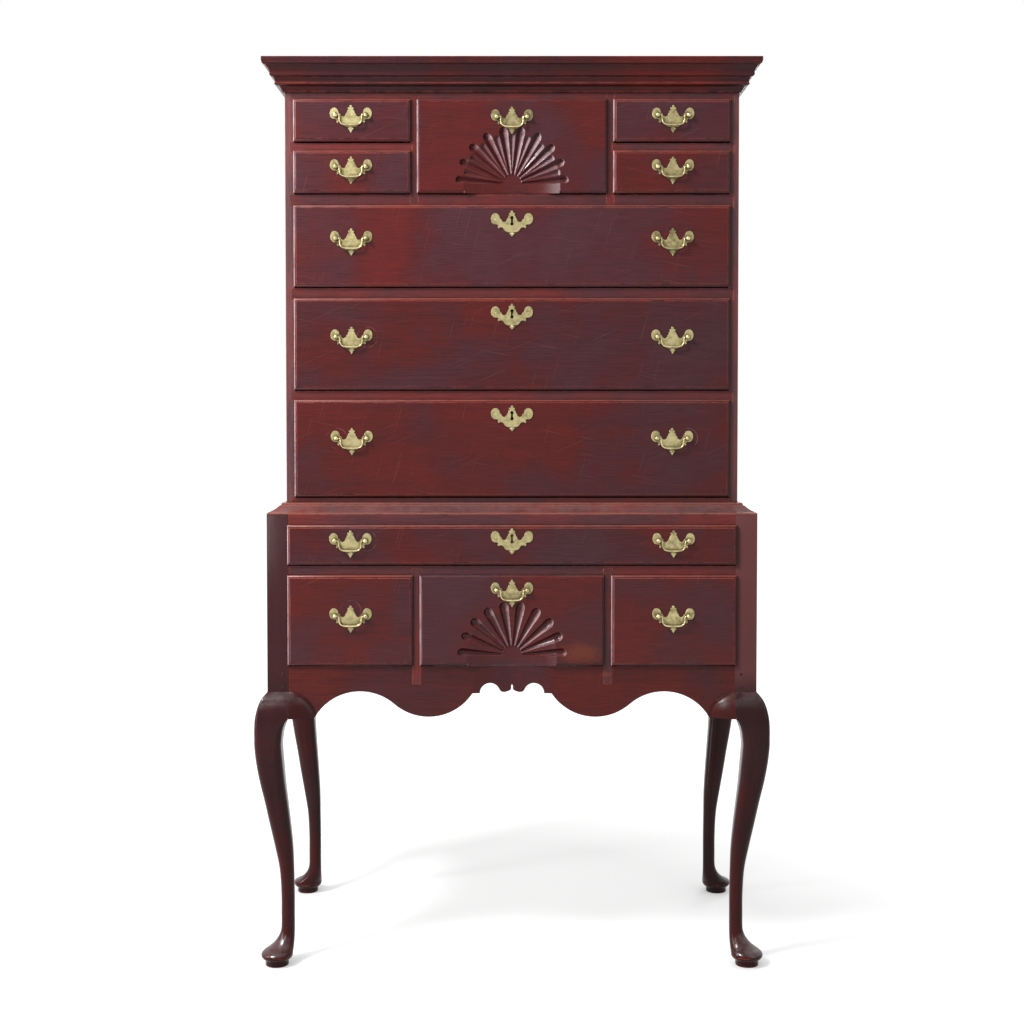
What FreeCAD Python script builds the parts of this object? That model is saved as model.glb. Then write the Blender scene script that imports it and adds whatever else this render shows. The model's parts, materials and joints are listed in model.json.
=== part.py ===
import FreeCAD, Part
import math
import os

from FreeCAD import Placement, Rotation, Vector

# A flat-top high chest of drawers in two cases, all sizes in millimetres.
# +X is to the right as the chest is seen from the front, +Y to its back, +Z up. The origin is on the floor,
# under the middle of the case. The lower case stands on four cabriole legs and the upper case lifts off it.

# Driving sizes. Heights of openings and rails are stacked upwards from the apron's top edge.
SIZES = {
    # lower case
    "case_width": 980,
    "case_depth": 490,
    "post_width": 43.5,
    "knee_line": 556.5,
    "apron_top": 608.5,
    "row_open": 180.5,
    "middle_rail": 21.5,
    "lower_long_open": 79,
    "top_rail": 23.5,
    "panel_thick": 20,
    "apron_thick": 22,
    "lower_back_thick": 16,
    "lower_back_foot": 575,
    "lower_divider": 17.5,
    "lower_divider_at": 191.25,
    "stile_deep": 24,
    "lap_foot": 36,
    "rail_shoulder": 4,
    "tenon_long": 25,
    "tenon_thick": 8,
    "tenon_shoulder": 12,
    # apron outline: how far from the middle, and how high above the knee blocks' feet
    "block_reach": 52.5,
    "arch_end_rise": 1.6,
    "arch_at": 304.5,
    "arch_rise": 51.6,
    "lobe_at": 167,
    "lobe_rise": 0.4,
    "step_at": 79.3,
    "step_rise": 47.6,
    "small_arch_at": 44.5,
    "small_arch_radius": 20,
    "small_lobe_at": 16.5,
    "small_lobe_rise": 1.6,
    "small_turn_rise": 8,
    "cusp_rise": 65,
    "skirt_arch": 50,
    # cabriole leg
    "knee_out": 25,
    "ankle_height": 118,
    "ankle_in": 21,
    "ankle_width": 27,
    "pad_radius": 31.8,
    "pad_height": 24,
    "pad_top": 45,
    "pad_in": 14.8,
    "shoe_radius": 22.7,
    "shoe_height": 9,
    "block_height": 50.5,
    # waist moulding and the upper case that stands inside it
    "setback": 35,
    "seat_gap": 0.3,
    "waist_height": 21.5,
    "waist_gap": 0.8,
    "side_thick": 19,
    "bottom_thick": 12.5,
    "bottom_rail": 18.5,
    "third_open": 195,
    "third_rail": 20.5,
    "second_open": 183.5,
    "second_rail": 23,
    "first_open": 163,
    "first_rail": 24,
    "small_open": 85,
    "small_rail": 18,
    "top_small_open": 84,
    "head_rail": 61.7,
    "lap_head": 24,
    "top_thick": 18,
    "upper_back_thick": 12,
    "rabbet": 10,
    "upper_divider": 16,
    "upper_divider_at": 196.5,
    "rail_deep": 70,
    "housing": 8,
    "runner_high": 18,
    "runner_wide": 20,
    "guide_high": 14,
    "cornice_height": 69,
    "cornice_out": 41,
    # drawers
    "slide_gap": 1.5,
    "lip_over": 4,
    "lip_proud": 8,
    "lip_round": 5.2,
    "lip_step": 1,
    "lip_gap": 0.3,
    "front_thick": 16,
    "fan_front_thick": 24,
    "front_lap": 6,
    "drawer_side": 11,
    "drawer_bottom": 8,
    "bottom_up": 8,
    "groove": 5,
    "drawer_back_gap": 18,
    # carved fans
    "fan_rise": 20,
    "fan_hub": 21,
    "fan_radius": 108,
    "flute_root": 4,
    "flute_wide": 17,
    "flute_deep": 5.5,
    "flutes": 10,
    "fan_start": 4,
    "ray_reach": 95,
    "ray_wide": 13,
    "ray_deep": 4,
    "scoop_half": 91,
    "scoop_deep": 14,
    "apron_scoop_half": 78,
    "apron_scoop_deep": 7,
    # brasses
    "bail_in": 168,
    "small_bail_rise": 9.3,
    "first_bail_rise": 14.5,
    "second_bail_rise": 14,
    "third_bail_rise": 20.5,
    "lower_long_bail_rise": 9,
    "row_bail_rise": 10,
    "upper_fan_bail_drop": 36.6,
    "lower_fan_bail_drop": 29,
    "bore": 61,
    "plate_thick": 1.6,
    "post_square": 5,
    "head_radius": 5,
    "head_out": 12,
    "pivot_out": 7.5,
    "pin_radius": 1.4,
    "pin_gap": 0.06,
    "pin_deep": 3,
    "bail_half": 22.3,
    "bail_drop": 19.5,
    "bail_thick": 3.8,
    "bail_bend": 9,
    "nut_square": 11,
    "nut_thick": 4,
    "key_drop": 32,
    "low_key_drop": 27,
    "key_wide": 6.4,
    "key_high": 18.6,
    "lock_wide": 44,
    "lock_high": 32,
    "lock_thick": 9,
    "bolt_wide": 16,
    "bolt_thick": 5,
    "bolt_high": 22,
    "bolt_travel": 7,
    "mortise_high": 9,
    "bolt_gap": 0.3,
}

# Places that follow from the driving sizes.
PLACES = {
    "half": "=Size.case_width / 2",
    "front": "=-Size.case_depth / 2",
    "back": "=Size.case_depth / 2",
    "post_in": "=half - Size.post_width",
    "bail_at": "=half - Size.bail_in",
    "post_front": "=front + Size.post_width",
    "post_back": "=back - Size.post_width",
    "panel_in": "=half - Size.panel_thick",
    "block_foot": "=Size.knee_line - Size.block_height",
    "row_low": "=Size.apron_top",
    "row_high": "=row_low + Size.row_open",
    "low_long_low": "=row_high + Size.middle_rail",
    "low_long_high": "=low_long_low + Size.lower_long_open",
    "case_top": "=low_long_high + Size.top_rail",
    "lower_back_face": "=back - Size.lower_back_thick",
    "upper_half": "=half - Size.setback",
    "upper_front": "=front + Size.setback",
    "upper_in": "=upper_half - Size.side_thick",
    "upper_foot": "=case_top + Size.seat_gap",
    "board_top": "=upper_foot + Size.bottom_thick",
    "third_low": "=board_top + Size.bottom_rail",
    "third_high": "=third_low + Size.third_open",
    "second_low": "=third_high + Size.third_rail",
    "second_high": "=second_low + Size.second_open",
    "first_low": "=second_high + Size.second_rail",
    "first_high": "=first_low + Size.first_open",
    "small_low": "=first_high + Size.first_rail",
    "small_high": "=small_low + Size.small_open",
    "top_low": "=small_high + Size.small_rail",
    "top_high": "=top_low + Size.top_small_open",
    "top_under": "=top_high + Size.head_rail",
    "upper_top": "=top_under + Size.top_thick",
    "upper_back_face": "=back - Size.upper_back_thick",
    "lower_div_in": "=Size.lower_divider_at - Size.lower_divider / 2",
    "lower_div_out": "=Size.lower_divider_at + Size.lower_divider / 2",
    "upper_div_in": "=Size.upper_divider_at - Size.upper_divider / 2",
    "upper_div_out": "=Size.upper_divider_at + Size.upper_divider / 2",
}

doc = FreeCAD.newDocument("highboy")


def make_sheet(name, rows):
    """A sheet with one named cell to a row."""
    sheet = doc.addObject("Spreadsheet::Sheet", name)
    for row, (alias, content) in enumerate(rows.items(), 1):
        sheet.set(f"A{row}", alias)
        sheet.set(f"B{row}", str(content))
        sheet.setAlias(f"B{row}", alias)
    doc.recompute()
    return sheet


size_sheet = make_sheet("Size", SIZES)
place_sheet = make_sheet("Place", PLACES)


def size(alias):
    return float(size_sheet.get(alias))


def place(alias):
    return float(place_sheet.get(alias))


# ---------------------------------------------------------------- helpers

PLANES = {
    "XY": Rotation(),
    "XZ": Rotation(Vector(1, 0, 0), 90),
    "YZ": Rotation(Vector(1, 1, 1), 120),
}


def box(name, x, y, z):
    """A squared board between pairs of low and high expressions."""
    made = doc.addObject("Part::Box", name)
    for length, axis, (low, high) in (("Length", "x", x), ("Width", "y", y), ("Height", "z", z)):
        made.setExpression(length, f"({high}) - ({low})")
        made.setExpression(f"Placement.Base.{axis}", f"{low}")
    return made


def joined(kind, name, shapes):
    """A fusion, intersection or loose group of several objects."""
    made = doc.addObject(kind, name)
    if kind == "Part::Compound":
        made.Links = shapes
    else:
        made.Shapes = shapes
    return made


def fuse(name, shapes):
    return joined("Part::MultiFuse", name, shapes)


def cut(name, base, tools):
    """The base with every tool taken out of it."""
    made = doc.addObject("Part::Cut", name)
    made.Base = base
    made.Tool = tools[0] if len(tools) == 1 else joined("Part::Compound", f"{name}_tools", tools)
    return made


SUBPARTS = []


def node(label, pieces):
    """One named sub-part: a single piece, or a group of separate pieces."""
    made = pieces[0] if len(pieces) == 1 else joined("Part::Compound", label, pieces)
    made.Label = label
    SUBPARTS.append(made)
    return made


def chain(path, closed=True):
    """Edges through a path of (x, y) points. A pair of points is an arc through the first to the second."""
    edges = []
    start = last = Vector(*path[0], 0)
    for item in path[1:]:
        if isinstance(item[0], tuple):
            middle, end = (Vector(*point, 0) for point in item)
            edges.append(Part.Arc(last, middle, end))
        else:
            end = Vector(*item, 0)
            edges.append(Part.LineSegment(last, end))
        last = end
    if closed and (last - start).Length > 1e-6:
        edges.append(Part.LineSegment(last, start))
    return edges


def mirrored(path):
    """A right-hand half outline from its top point on the middle line to its lowest, then up the left."""
    points = [item[1] if isinstance(item[0], tuple) else item for item in path]
    whole = list(path)
    for item, (x, y) in zip(path[:0:-1], points[-2::-1]):
        if isinstance(item[0], tuple):
            whole.append(((-item[0][0], item[0][1]), (-x, y)))
        else:
            whole.append((-x, y))
    return whole


def about_z(angle):
    return Rotation(Vector(0, 0, 1), angle)


def profile(name, plane, path, origin=(None, None, None), turn=0):
    """A sketch of a closed outline on a plane turned about Z, whose origin may follow the sheets."""
    made = doc.addObject("Sketcher::SketchObject", name)
    made.Placement = Placement(Vector(), about_z(turn) * PLANES[plane])
    made.addGeometry(chain(path), False)
    for axis, expression in zip("xyz", origin):
        if expression is not None:
            made.setExpression(f"Placement.Base.{axis}", expression)
    return made


def prism(name, base, length):
    """An outline pushed along its own normal."""
    made = doc.addObject("Part::Extrusion", name)
    made.Base = base
    made.DirMode = "Normal"
    made.Solid = True
    made.setExpression("LengthFwd", length)
    return made


def copy_of(name, source, x, y, z="0", turn=0):
    """The same piece once more, turned about Z and set at another place."""
    made = doc.addObject("Part::Compound", name)
    made.Links = [source]
    made.Placement = Placement(Vector(), about_z(turn))
    for axis, expression in zip("xyz", (x, y, z)):
        made.setExpression(f"Placement.Base.{axis}", expression)
    return made


def mirror_x(name, source):
    made = doc.addObject("Part::Mirroring", name)
    made.Source = source
    made.Base = Vector()
    made.Normal = Vector(1, 0, 0)
    return made


def body_sketch(body, name, role, geometry, offset=Vector()):
    """A sketch on one of a body's own origin planes, lifted by an offset."""
    made = body.newObject("Sketcher::SketchObject", name)
    plane = next(item for item in body.Origin.OriginFeatures if item.Role == role)
    made.AttachmentSupport = [(plane, "")]
    made.MapMode = "FlatFace"
    made.AttachmentOffset = Placement(offset, Rotation())
    made.addGeometry(geometry, False)
    return made


def body_box(body, kind, name, x, y, z):
    """An additive or subtractive box in a body, between pairs of low and high expressions."""
    made = body.newObject(f"PartDesign::{kind}Box", name)
    for length, axis, (low, high) in (("Length", "x", x), ("Width", "y", y), ("Height", "z", z)):
        made.setExpression(length, f"({high}) - ({low})")
        made.setExpression(f"Placement.Base.{axis}", f"{low}")
    return made


HANDS = ("right", "left")


def flipped(pair):
    """A pair of expressions carried over to the other side of the middle."""
    return (f"-({pair[1]})", f"-({pair[0]})")


def both_sides(low, high):
    """An x range on the right, and the same on the left."""
    return ((low, high), flipped((low, high)))


def scoop_radius(half, deep):
    """The radius of a hollow from half its width and its depth."""
    return f"({half} ^ 2 + {deep} ^ 2) / (2 * {deep})"


# ---------------------------------------------------------------- cabriole legs

HEAD_FLATS = 6
CORNER_FLATS = 3
BEND_FLATS = 3
SIDE_TENONS = 3
BACK_BOARDS = 3

# Heights between ankle and knee line as shares, then the outer edge (a share of knee_out where positive, of
# ankle_in where negative), the inner edge (a share of the ankle's, None at the post's), roundness.
LEG_STATIONS = [
    (1.0, 0.0, None, 0.07),
    (0.974, 0.28, None, 0.2),
    (0.935, 0.6, None, 0.28),
    (0.894, 0.84, None, 0.3),
    (0.871, 0.95, 0.81, 0.34),
    (0.844, 1.0, 0.65, 0.4),
    (0.757, 1.0, 0.6, 0.46),
    (0.677, 0.88, 0.65, 0.52),
    (0.586, 0.64, 0.71, 0.6),
    (0.493, 0.32, 0.79, 0.68),
    (0.392, 0.0, 0.875, 0.76),
    (0.271, -0.48, 0.96, 0.84),
    (0.164, -0.86, 0.985, 0.92),
    (0.041, -1.0, 1.0, 0.97),
]


def rounded_square(low, high, roundness):
    """A square from low to high on the diagonal y = -x. Each corner is rounded by a few flats."""
    radius = roundness * (high - low) / 2
    near, far = low + radius, high - radius
    points = []
    for start, (x, y) in enumerate(((far, -near), (near, -near), (near, -far), (far, -far))):
        for step in range(CORNER_FLATS + 1):
            turn = math.pi / 2 * (start + step / CORNER_FLATS)
            points.append((x + radius * math.cos(turn), y + radius * math.sin(turn)))
    return chain(points)


def leg_sections():
    """Height, low and high edges and roundness of each section, from the knee line down to the pad."""
    rise = size("knee_line") - size("ankle_height")
    ankle_inner = size("ankle_in") + size("ankle_width")
    sections = []
    for share, outer, inner, roundness in LEG_STATIONS:
        high = outer * (size("knee_out") if outer > 0 else size("ankle_in"))
        low = -size("post_width") if inner is None else -inner * ankle_inner
        sections.append((size("ankle_height") + share * rise, low, high, roundness))
    pad_centre = -size("pad_in")
    pad_low, pad_high = pad_centre - size("pad_radius"), pad_centre + size("pad_radius")
    ankle_low, ankle_high = -ankle_inner, -size("ankle_in")
    pad_height, pad_top = size("pad_height"), size("pad_top")
    # the ankle opens into the turned pad: height, shares of the way from the ankle's edges to the pad's
    for height, inwards, outwards in (
        (size("ankle_height") - 20, 0.0, 0.0),
        ((size("ankle_height") - 20 + pad_top) / 2, 0.1, 0.07),
        (pad_top + 8, 0.5, 0.2),
        (pad_top, 0.8, 0.36),
        ((pad_top + pad_height) / 2 + 1, 1.0, 0.7),
        (pad_height, 1.0, 1.0),
        ((pad_height + size("shoe_height")) / 2, 1.0, 0.98),
    ):
        low = ankle_low + inwards * (pad_low - ankle_low)
        high = ankle_high + outwards * (pad_high - ankle_high)
        sections.append((height, low, high, 0.985))
    foot = size("shoe_radius") + 4
    sections.append((size("shoe_height"), pad_centre - foot, pad_centre + foot, 0.985))
    return sections


def leg_body(name, angle, corner_x, corner_y):
    """Post, cabriole and pad foot in one. The local origin is the post's outer corner."""
    body = doc.addObject("PartDesign::Body", name)
    post = body.newObject("PartDesign::AdditiveBox", f"{name}_post")
    post.setExpression("Length", "Size.post_width")
    post.setExpression("Width", "Size.post_width")
    post.setExpression("Height", "Place.case_top - Size.knee_line")
    post.setExpression("Placement.Base.x", "-Size.post_width")
    post.setExpression("Placement.Base.z", "Size.knee_line")
    sketches = []
    for index, (height, low, high, roundness) in enumerate(leg_sections()):
        square = rounded_square(low, high, roundness)
        title = f"{name}_section_{index}"
        sketches.append(body_sketch(body, title, "XY_Plane", square, Vector(0, 0, height)))
    loft = body.newObject("PartDesign::AdditiveLoft", f"{name}_cabriole")
    loft.Profile = sketches[0]
    loft.Sections = sketches[1:]
    loft.Ruled = True
    shoe = body.newObject("PartDesign::AdditiveCylinder", f"{name}_shoe")
    shoe.setExpression("Radius", "Size.shoe_radius")
    shoe.setExpression("Height", "Size.shoe_height")
    shoe.setExpression("Placement.Base.x", "-Size.pad_in")
    shoe.setExpression("Placement.Base.y", "Size.pad_in")
    body.Placement = Placement(Vector(), Rotation(Vector(0, 0, 1), angle))
    body.setExpression("Placement.Base.x", corner_x)
    body.setExpression("Placement.Base.y", corner_y)
    return body


# ---------------------------------------------------------------- lower case boards


def tenons(name, count, low, high, x, y):
    """A row of equal tenons between two heights, with shoulders above, below and between them."""
    made = []
    step = f"(({high}) - ({low})) / {count}"
    for index in range(count):
        bottom = f"({low}) + {index} * {step} + Size.tenon_shoulder / 2"
        top = f"({low}) + {index + 1} * {step} - Size.tenon_shoulder / 2"
        made.append(box(f"{name}_{index}", x, y, (bottom, top)))
    return made


def apron_path():
    """The apron's face: straight along the top, arched and lobed below, two small arches in the middle."""
    foot = place("block_foot")
    end_x = place("post_in") - size("block_reach")
    arch_x, arch_z = size("arch_at"), foot + size("arch_rise")
    lobe_x, lobe_z = size("lobe_at"), foot + size("lobe_rise")
    step_z = foot + size("step_rise")
    small_x, small_r, drop_x = size("small_arch_at"), size("small_arch_radius"), size("small_lobe_at")
    turn_x, turn_z = (small_x + 2 * drop_x) / 3, step_z + size("small_turn_rise")
    return mirrored([
        (0, size("apron_top")),
        (place("post_in"), size("apron_top")),
        (place("post_in"), foot),
        (end_x, foot),
        (end_x, foot + size("arch_end_rise")),
        ((arch_x, arch_z), ((arch_x + lobe_x) / 2, (arch_z + lobe_z) / 2)),
        ((lobe_x, lobe_z), (size("step_at"), step_z)),
        (small_x + small_r, step_z),
        ((small_x, step_z + small_r), (turn_x, turn_z)),
        ((drop_x, step_z + size("small_lobe_rise")), (drop_x * 0.4, turn_z)),
        (0, foot + size("cusp_rise")),
    ])


def skirt_path():
    """A side panel's face, its lower edge cut to a flat arch between the knee blocks."""
    front, back = place("post_front"), place("post_back")
    foot, rise = place("block_foot"), size("skirt_arch")
    soft = rise * (1 - math.sqrt(0.5))
    left, right = front + size("block_reach"), back - size("block_reach")
    return [
        (front, place("case_top")),
        (front, foot),
        (left, foot),
        ((left + soft, foot + rise - soft), (left + rise, foot + rise)),
        (right - rise, foot + rise),
        ((right - soft, foot + rise - soft), (right, foot)),
        (back, foot),
        (back, place("case_top")),
    ]


def knee_block():
    """One knee block in its own axes, x away from the leg and y into the case, from the ways it is sawn."""
    reach, rise = size("block_reach"), size("block_height")
    foot, top = place("block_foot"), size("knee_line")
    thin = 3
    deep = size("knee_out") * 0.84
    face = [
        (0, top),
        ((reach * 0.62, top - rise * 0.2), (reach, foot + thin)),
        (reach, foot),
        (0, foot),
    ]
    plan = [(0, 0), (0, -deep), ((reach * 0.42, -deep * 0.72), (reach, -thin / 2)), (reach, 0)]
    side = [
        (0, top),
        ((-deep * 0.62, top - rise * 0.45), (-deep, foot + rise * 0.1)),
        ((-deep * 0.98, foot + rise * 0.03), (-deep * 0.9, foot)),
        (0, foot),
    ]
    face_prism = prism("knee_block_face", profile("knee_block_face_outline", "XZ", face), "Size.knee_out")
    plan_sketch = profile("knee_block_plan_outline", "XY", plan, (None, None, "Place.block_foot"))
    plan_prism = prism("knee_block_plan", plan_sketch, "Size.block_height")
    side_prism = prism("knee_block_side", profile("knee_block_side_outline", "YZ", side), "Size.block_reach")
    return joined("Part::MultiCommon", "knee_block", [face_prism, plan_prism, side_prism])


def stretch(item, factor):
    """A path point or arc with its first coordinate lengthened, for a section taken along a mitre."""
    if isinstance(item[0], tuple):
        return tuple((x * factor, y) for x, y in item)
    return (item[0] * factor, item[1])


def moulding(label, path, half, front, base):
    """A moulding in three mitred lengths round the front and sides; the path runs outwards from the case."""
    stretched = [stretch(point, math.sqrt(2)) for point in path]
    ends = {}
    for side, sign, turn, square_turn in (("right", "", -45, 0), ("left", "-", -135, 180)):
        x = f"{sign}({half})"
        mitre = profile(f"{label}_{side}_mitre", "XZ", stretched, (x, front, base), turn)
        square = profile(f"{label}_{side}_end", "XZ", path, (x, "Place.back", base), square_turn)
        ends[side] = (mitre, square)
    pairs = {
        "front": (ends["right"][0], ends["left"][0]),
        "right": ends["right"],
        "left": ends["left"],
    }
    lengths = []
    for name, sections in pairs.items():
        length = doc.addObject("Part::Loft", f"{label}_{name}_length")
        length.Sections = list(sections)
        length.Solid = True
        length.Ruled = True
        lengths.append(length)
    return node(label, lengths)


def cornice_path():
    """Cove, bead, ovolo, large cove, bead and square top edge, from the case outwards and up."""
    out, high = size("cornice_out"), size("cornice_height")
    return [
        (0, 0),
        ((out * 0.12, high * 0.025), (out * 0.15, high * 0.1)),
        (out * 0.2, high * 0.1),
        ((out * 0.27, high * 0.155), (out * 0.23, high * 0.21)),
        ((out * 0.42, high * 0.27), (out * 0.475, high * 0.385)),
        (out * 0.525, high * 0.385),
        (out * 0.525, high * 0.42),
        ((out * 0.62, high * 0.6), (out * 0.85, high * 0.735)),
        (out * 0.9, high * 0.735),
        ((out * 0.96, high * 0.78), (out * 0.915, high * 0.826)),
        (out, high * 0.826),
        (out, high),
        (0, high),
    ]


def waist_path():
    """A bead over a cove over a thin fillet. It fills the step from the lower case up to the upper one."""
    wide = size("setback") - size("waist_gap")
    high = size("waist_height")
    return [
        (0, 0),
        (wide, 0),
        (wide, high * 0.13),
        (wide * 0.9, high * 0.16),
        ((wide * 0.66, high * 0.3), (wide * 0.47, high * 0.58)),
        (wide * 0.42, high * 0.66),
        ((wide * 0.27, high * 0.92), (0, high)),
    ]


# ---------------------------------------------------------------- lower case


def build_legs():
    """Four legs, mortised for the tenons of apron, front rails, sides and back."""
    corners = {
        "front_right": (0, "Place.half", "Place.front"),
        "rear_right": (90, "Place.half", "Place.back"),
        "rear_left": (180, "-Place.half", "Place.back"),
        "front_left": (270, "-Place.half", "Place.front"),
    }
    half_tenon = "Size.tenon_thick / 2"
    panel_middle = "Place.half - Size.panel_thick / 2"
    rail_y = ("Place.front + Size.apron_thick / 2", "Place.front + Size.apron_thick * 1.5")
    found = {}
    for corner, (angle, corner_x, corner_y) in corners.items():
        end, hand = corner.split("_")
        panel_x = (f"{panel_middle} - {half_tenon}", f"{panel_middle} + {half_tenon}")
        board_x = ("Place.post_in", "Place.post_in + Size.tenon_long")
        rail_x = ("Place.post_in", "Place.post_in + Size.tenon_long / 2")
        if hand == "left":
            panel_x, board_x, rail_x = flipped(panel_x), flipped(board_x), flipped(rail_x)
        rails = []
        if end == "front":
            panel_y = ("Place.post_front - Size.tenon_long", "Place.post_front")
            middle = "Place.front + Size.apron_thick / 2"
            board = (1, "Place.block_foot", "Size.apron_top")
            for name, low, high in (
                ("middle", "Place.row_high", "Place.low_long_low"),
                ("top", "Place.low_long_high", "Place.case_top"),
            ):
                shoulders = (f"{low} + Size.rail_shoulder", f"{high} - Size.rail_shoulder")
                rails.append(box(f"{corner}_{name}_rail_tenon", rail_x, rail_y, shoulders))
        else:
            panel_y = ("Place.post_back", "Place.post_back + Size.tenon_long")
            middle = "Place.back - Size.lower_back_thick / 2"
            board = (2, "Size.lower_back_foot", "Place.case_top - Size.top_rail")
        board_y = (f"{middle} - {half_tenon}", f"{middle} + {half_tenon}")
        count, low, high = board
        panel_z = ("Place.block_foot", "Place.case_top")
        panel_tenons = tenons(f"{corner}_panel_tenon", SIDE_TENONS, *panel_z, panel_x, panel_y)
        board_tenons = tenons(f"{corner}_board_tenon", count, low, high, board_x, board_y)
        leg = leg_body(f"{corner}_leg", angle, corner_x, corner_y)
        node(f"leg_{corner}", [cut(f"{corner}_mortised", leg, panel_tenons + board_tenons + rails)])
        found[corner] = {"panel": panel_tenons, "board": board_tenons, "rails": rails}
    return found


def build_lower_boards(found, feet):
    """Side panels, back board and apron, each with its tenons."""
    sides = []
    for hand, start in (("right", "Place.panel_in"), ("left", "-Place.half")):
        outline = profile(f"lower_side_{hand}_outline", "YZ", skirt_path(), (start, None, None))
        panel = prism(f"lower_side_{hand}_board", outline, "Size.panel_thick")
        shapes = [panel] + found[f"front_{hand}"]["panel"] + found[f"rear_{hand}"]["panel"]
        sides.append(fuse(f"lower_side_{hand}", shapes))
    node("lower_sides", sides)

    inner = ("-Place.post_in", "Place.post_in")
    back_z = ("Size.lower_back_foot", "Place.case_top")
    back = box("lower_back_board", inner, ("Place.lower_back_face", "Place.back"), back_z)
    back_shapes = [back] + found["rear_right"]["board"] + found["rear_left"]["board"]
    node("lower_back", [fuse("lower_back_whole", back_shapes)])

    outline = profile("apron_outline", "XZ", apron_path(), (None, "Place.front + Size.apron_thick", None))
    board = prism("apron_board", outline, "Size.apron_thick")
    whole = fuse("apron_whole", [board] + found["front_right"]["board"] + found["front_left"]["board"])
    hollow = doc.addObject("Part::Cylinder", "apron_scoop")
    radius = scoop_radius("Size.apron_scoop_half", "Size.apron_scoop_deep")
    hollow.setExpression("Radius", radius)
    hollow.setExpression("Height", "Size.apron_top + 1")
    hollow.setExpression("Placement.Base.y", f"Place.front + Size.apron_scoop_deep - {radius}")
    node("apron", [cut("apron_scooped", whole, [hollow] + feet)])


def build_lower_dividers(found, feet, heads):
    """Two front rails, the rear top rail and the two uprights between the lower drawers."""
    inner = ("-Place.post_in", "Place.post_in")
    deep = ("Place.front", "Place.front + Size.rail_deep")
    middle = box("middle_rail_bar", inner, deep, ("Place.row_high", "Place.low_long_low"))
    top = box("top_rail_bar", inner, deep, ("Place.low_long_high", "Place.case_top"))
    rear_y = ("Place.lower_back_face - Size.rail_deep", "Place.lower_back_face")
    rear = box("rear_top_rail", inner, rear_y, ("Place.low_long_high", "Place.case_top"))
    pieces = [rear]
    for index, (name, bar) in enumerate((("middle", middle), ("top", top))):
        ends = [found[corner]["rails"][index] for corner in ("front_right", "front_left")]
        whole = fuse(f"lower_{name}_rail_whole", [bar] + ends)
        pieces.append(cut("lower_middle_rail_lapped", whole, heads) if name == "middle" else whole)
    uprights = both_sides("Place.lower_div_in", "Place.lower_div_out")
    for foot, head, x, name in zip(feet, heads, uprights, HANDS):
        stile_y = ("Place.front", "Place.front + Size.stile_deep")
        stile = box(f"lower_upright_{name}", x, stile_y, ("Place.row_low", "Place.row_high"))
        pieces.append(fuse(f"lower_upright_{name}_lapped", [stile, foot, head]))
    node("lower_dividers", pieces)


def laps(name, low, high, front, z_low, z_high):
    """The halved ends of two uprights, let into the face of the rail above or below."""
    made = []
    for hand, x in zip(HANDS, both_sides(low, high)):
        made.append(box(f"{name}_{hand}", x, (front, f"{front} + Size.stile_deep / 2"), (z_low, z_high)))
    return made


def build_lower_runners():
    """Runners under the drawers, guides beside them, and cleats that carry the upper case."""
    pieces = []
    starts = (("Place.low_long_low", "Place.front + Size.rail_deep"), ("Place.row_low", "Place.post_front"))
    for level, start in starts:
        tag = level.split(".")[1]
        for hand, x in zip(HANDS, both_sides("Place.post_in - Size.runner_wide", "Place.panel_in")):
            z = (f"{level} - Size.runner_high", level)
            pieces.append(box(f"runner_{tag}_{hand}", x, (start, "Place.post_back"), z))
        for hand, x in zip(HANDS, both_sides("Place.post_in", "Place.panel_in")):
            z = (level, f"{level} + Size.guide_high")
            pieces.append(box(f"guide_{tag}_{hand}", x, ("Place.post_front", "Place.post_back"), z))
    wide = both_sides("Place.lower_div_in - Size.runner_wide", "Place.lower_div_out + Size.runner_wide")
    for hand, x in zip(HANDS, wide):
        y = ("Place.front + Size.apron_thick", "Place.lower_back_face")
        runner_z = ("Place.row_low - Size.runner_high", "Place.row_low")
        pieces.append(box(f"runner_centre_{hand}", x, y, runner_z))
    for hand, x in zip(HANDS, both_sides("Place.lower_div_in", "Place.lower_div_out")):
        y = ("Place.front + Size.stile_deep", "Place.lower_back_face")
        guide_z = ("Place.row_low", "Place.row_low + Size.guide_high")
        pieces.append(box(f"guide_centre_{hand}", x, y, guide_z))
    for hand, x in zip(HANDS, both_sides("Place.post_in - Size.runner_wide", "Place.panel_in")):
        y = ("Place.front + Size.rail_deep", "Place.lower_back_face - Size.rail_deep")
        pieces.append(box(f"cleat_{hand}", x, y, ("Place.case_top - Size.runner_high", "Place.case_top")))
    node("lower_runners", pieces)


def build_knee_blocks():
    block = knee_block()
    seats = {
        "front": (0, "-Place.post_in", "Place.front"),
        "side_front": (90, "Place.half", "Place.post_front"),
        "side_rear": (-90, "-Place.half", "Place.post_back"),
    }
    made = []
    for name, (turn, x, y) in seats.items():
        piece = copy_of(f"knee_block_{name}", block, x, y, turn=turn)
        made += [piece, mirror_x(f"knee_block_{name}_other", piece)]
    node("knee_blocks", made)


# ---------------------------------------------------------------- upper case


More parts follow.
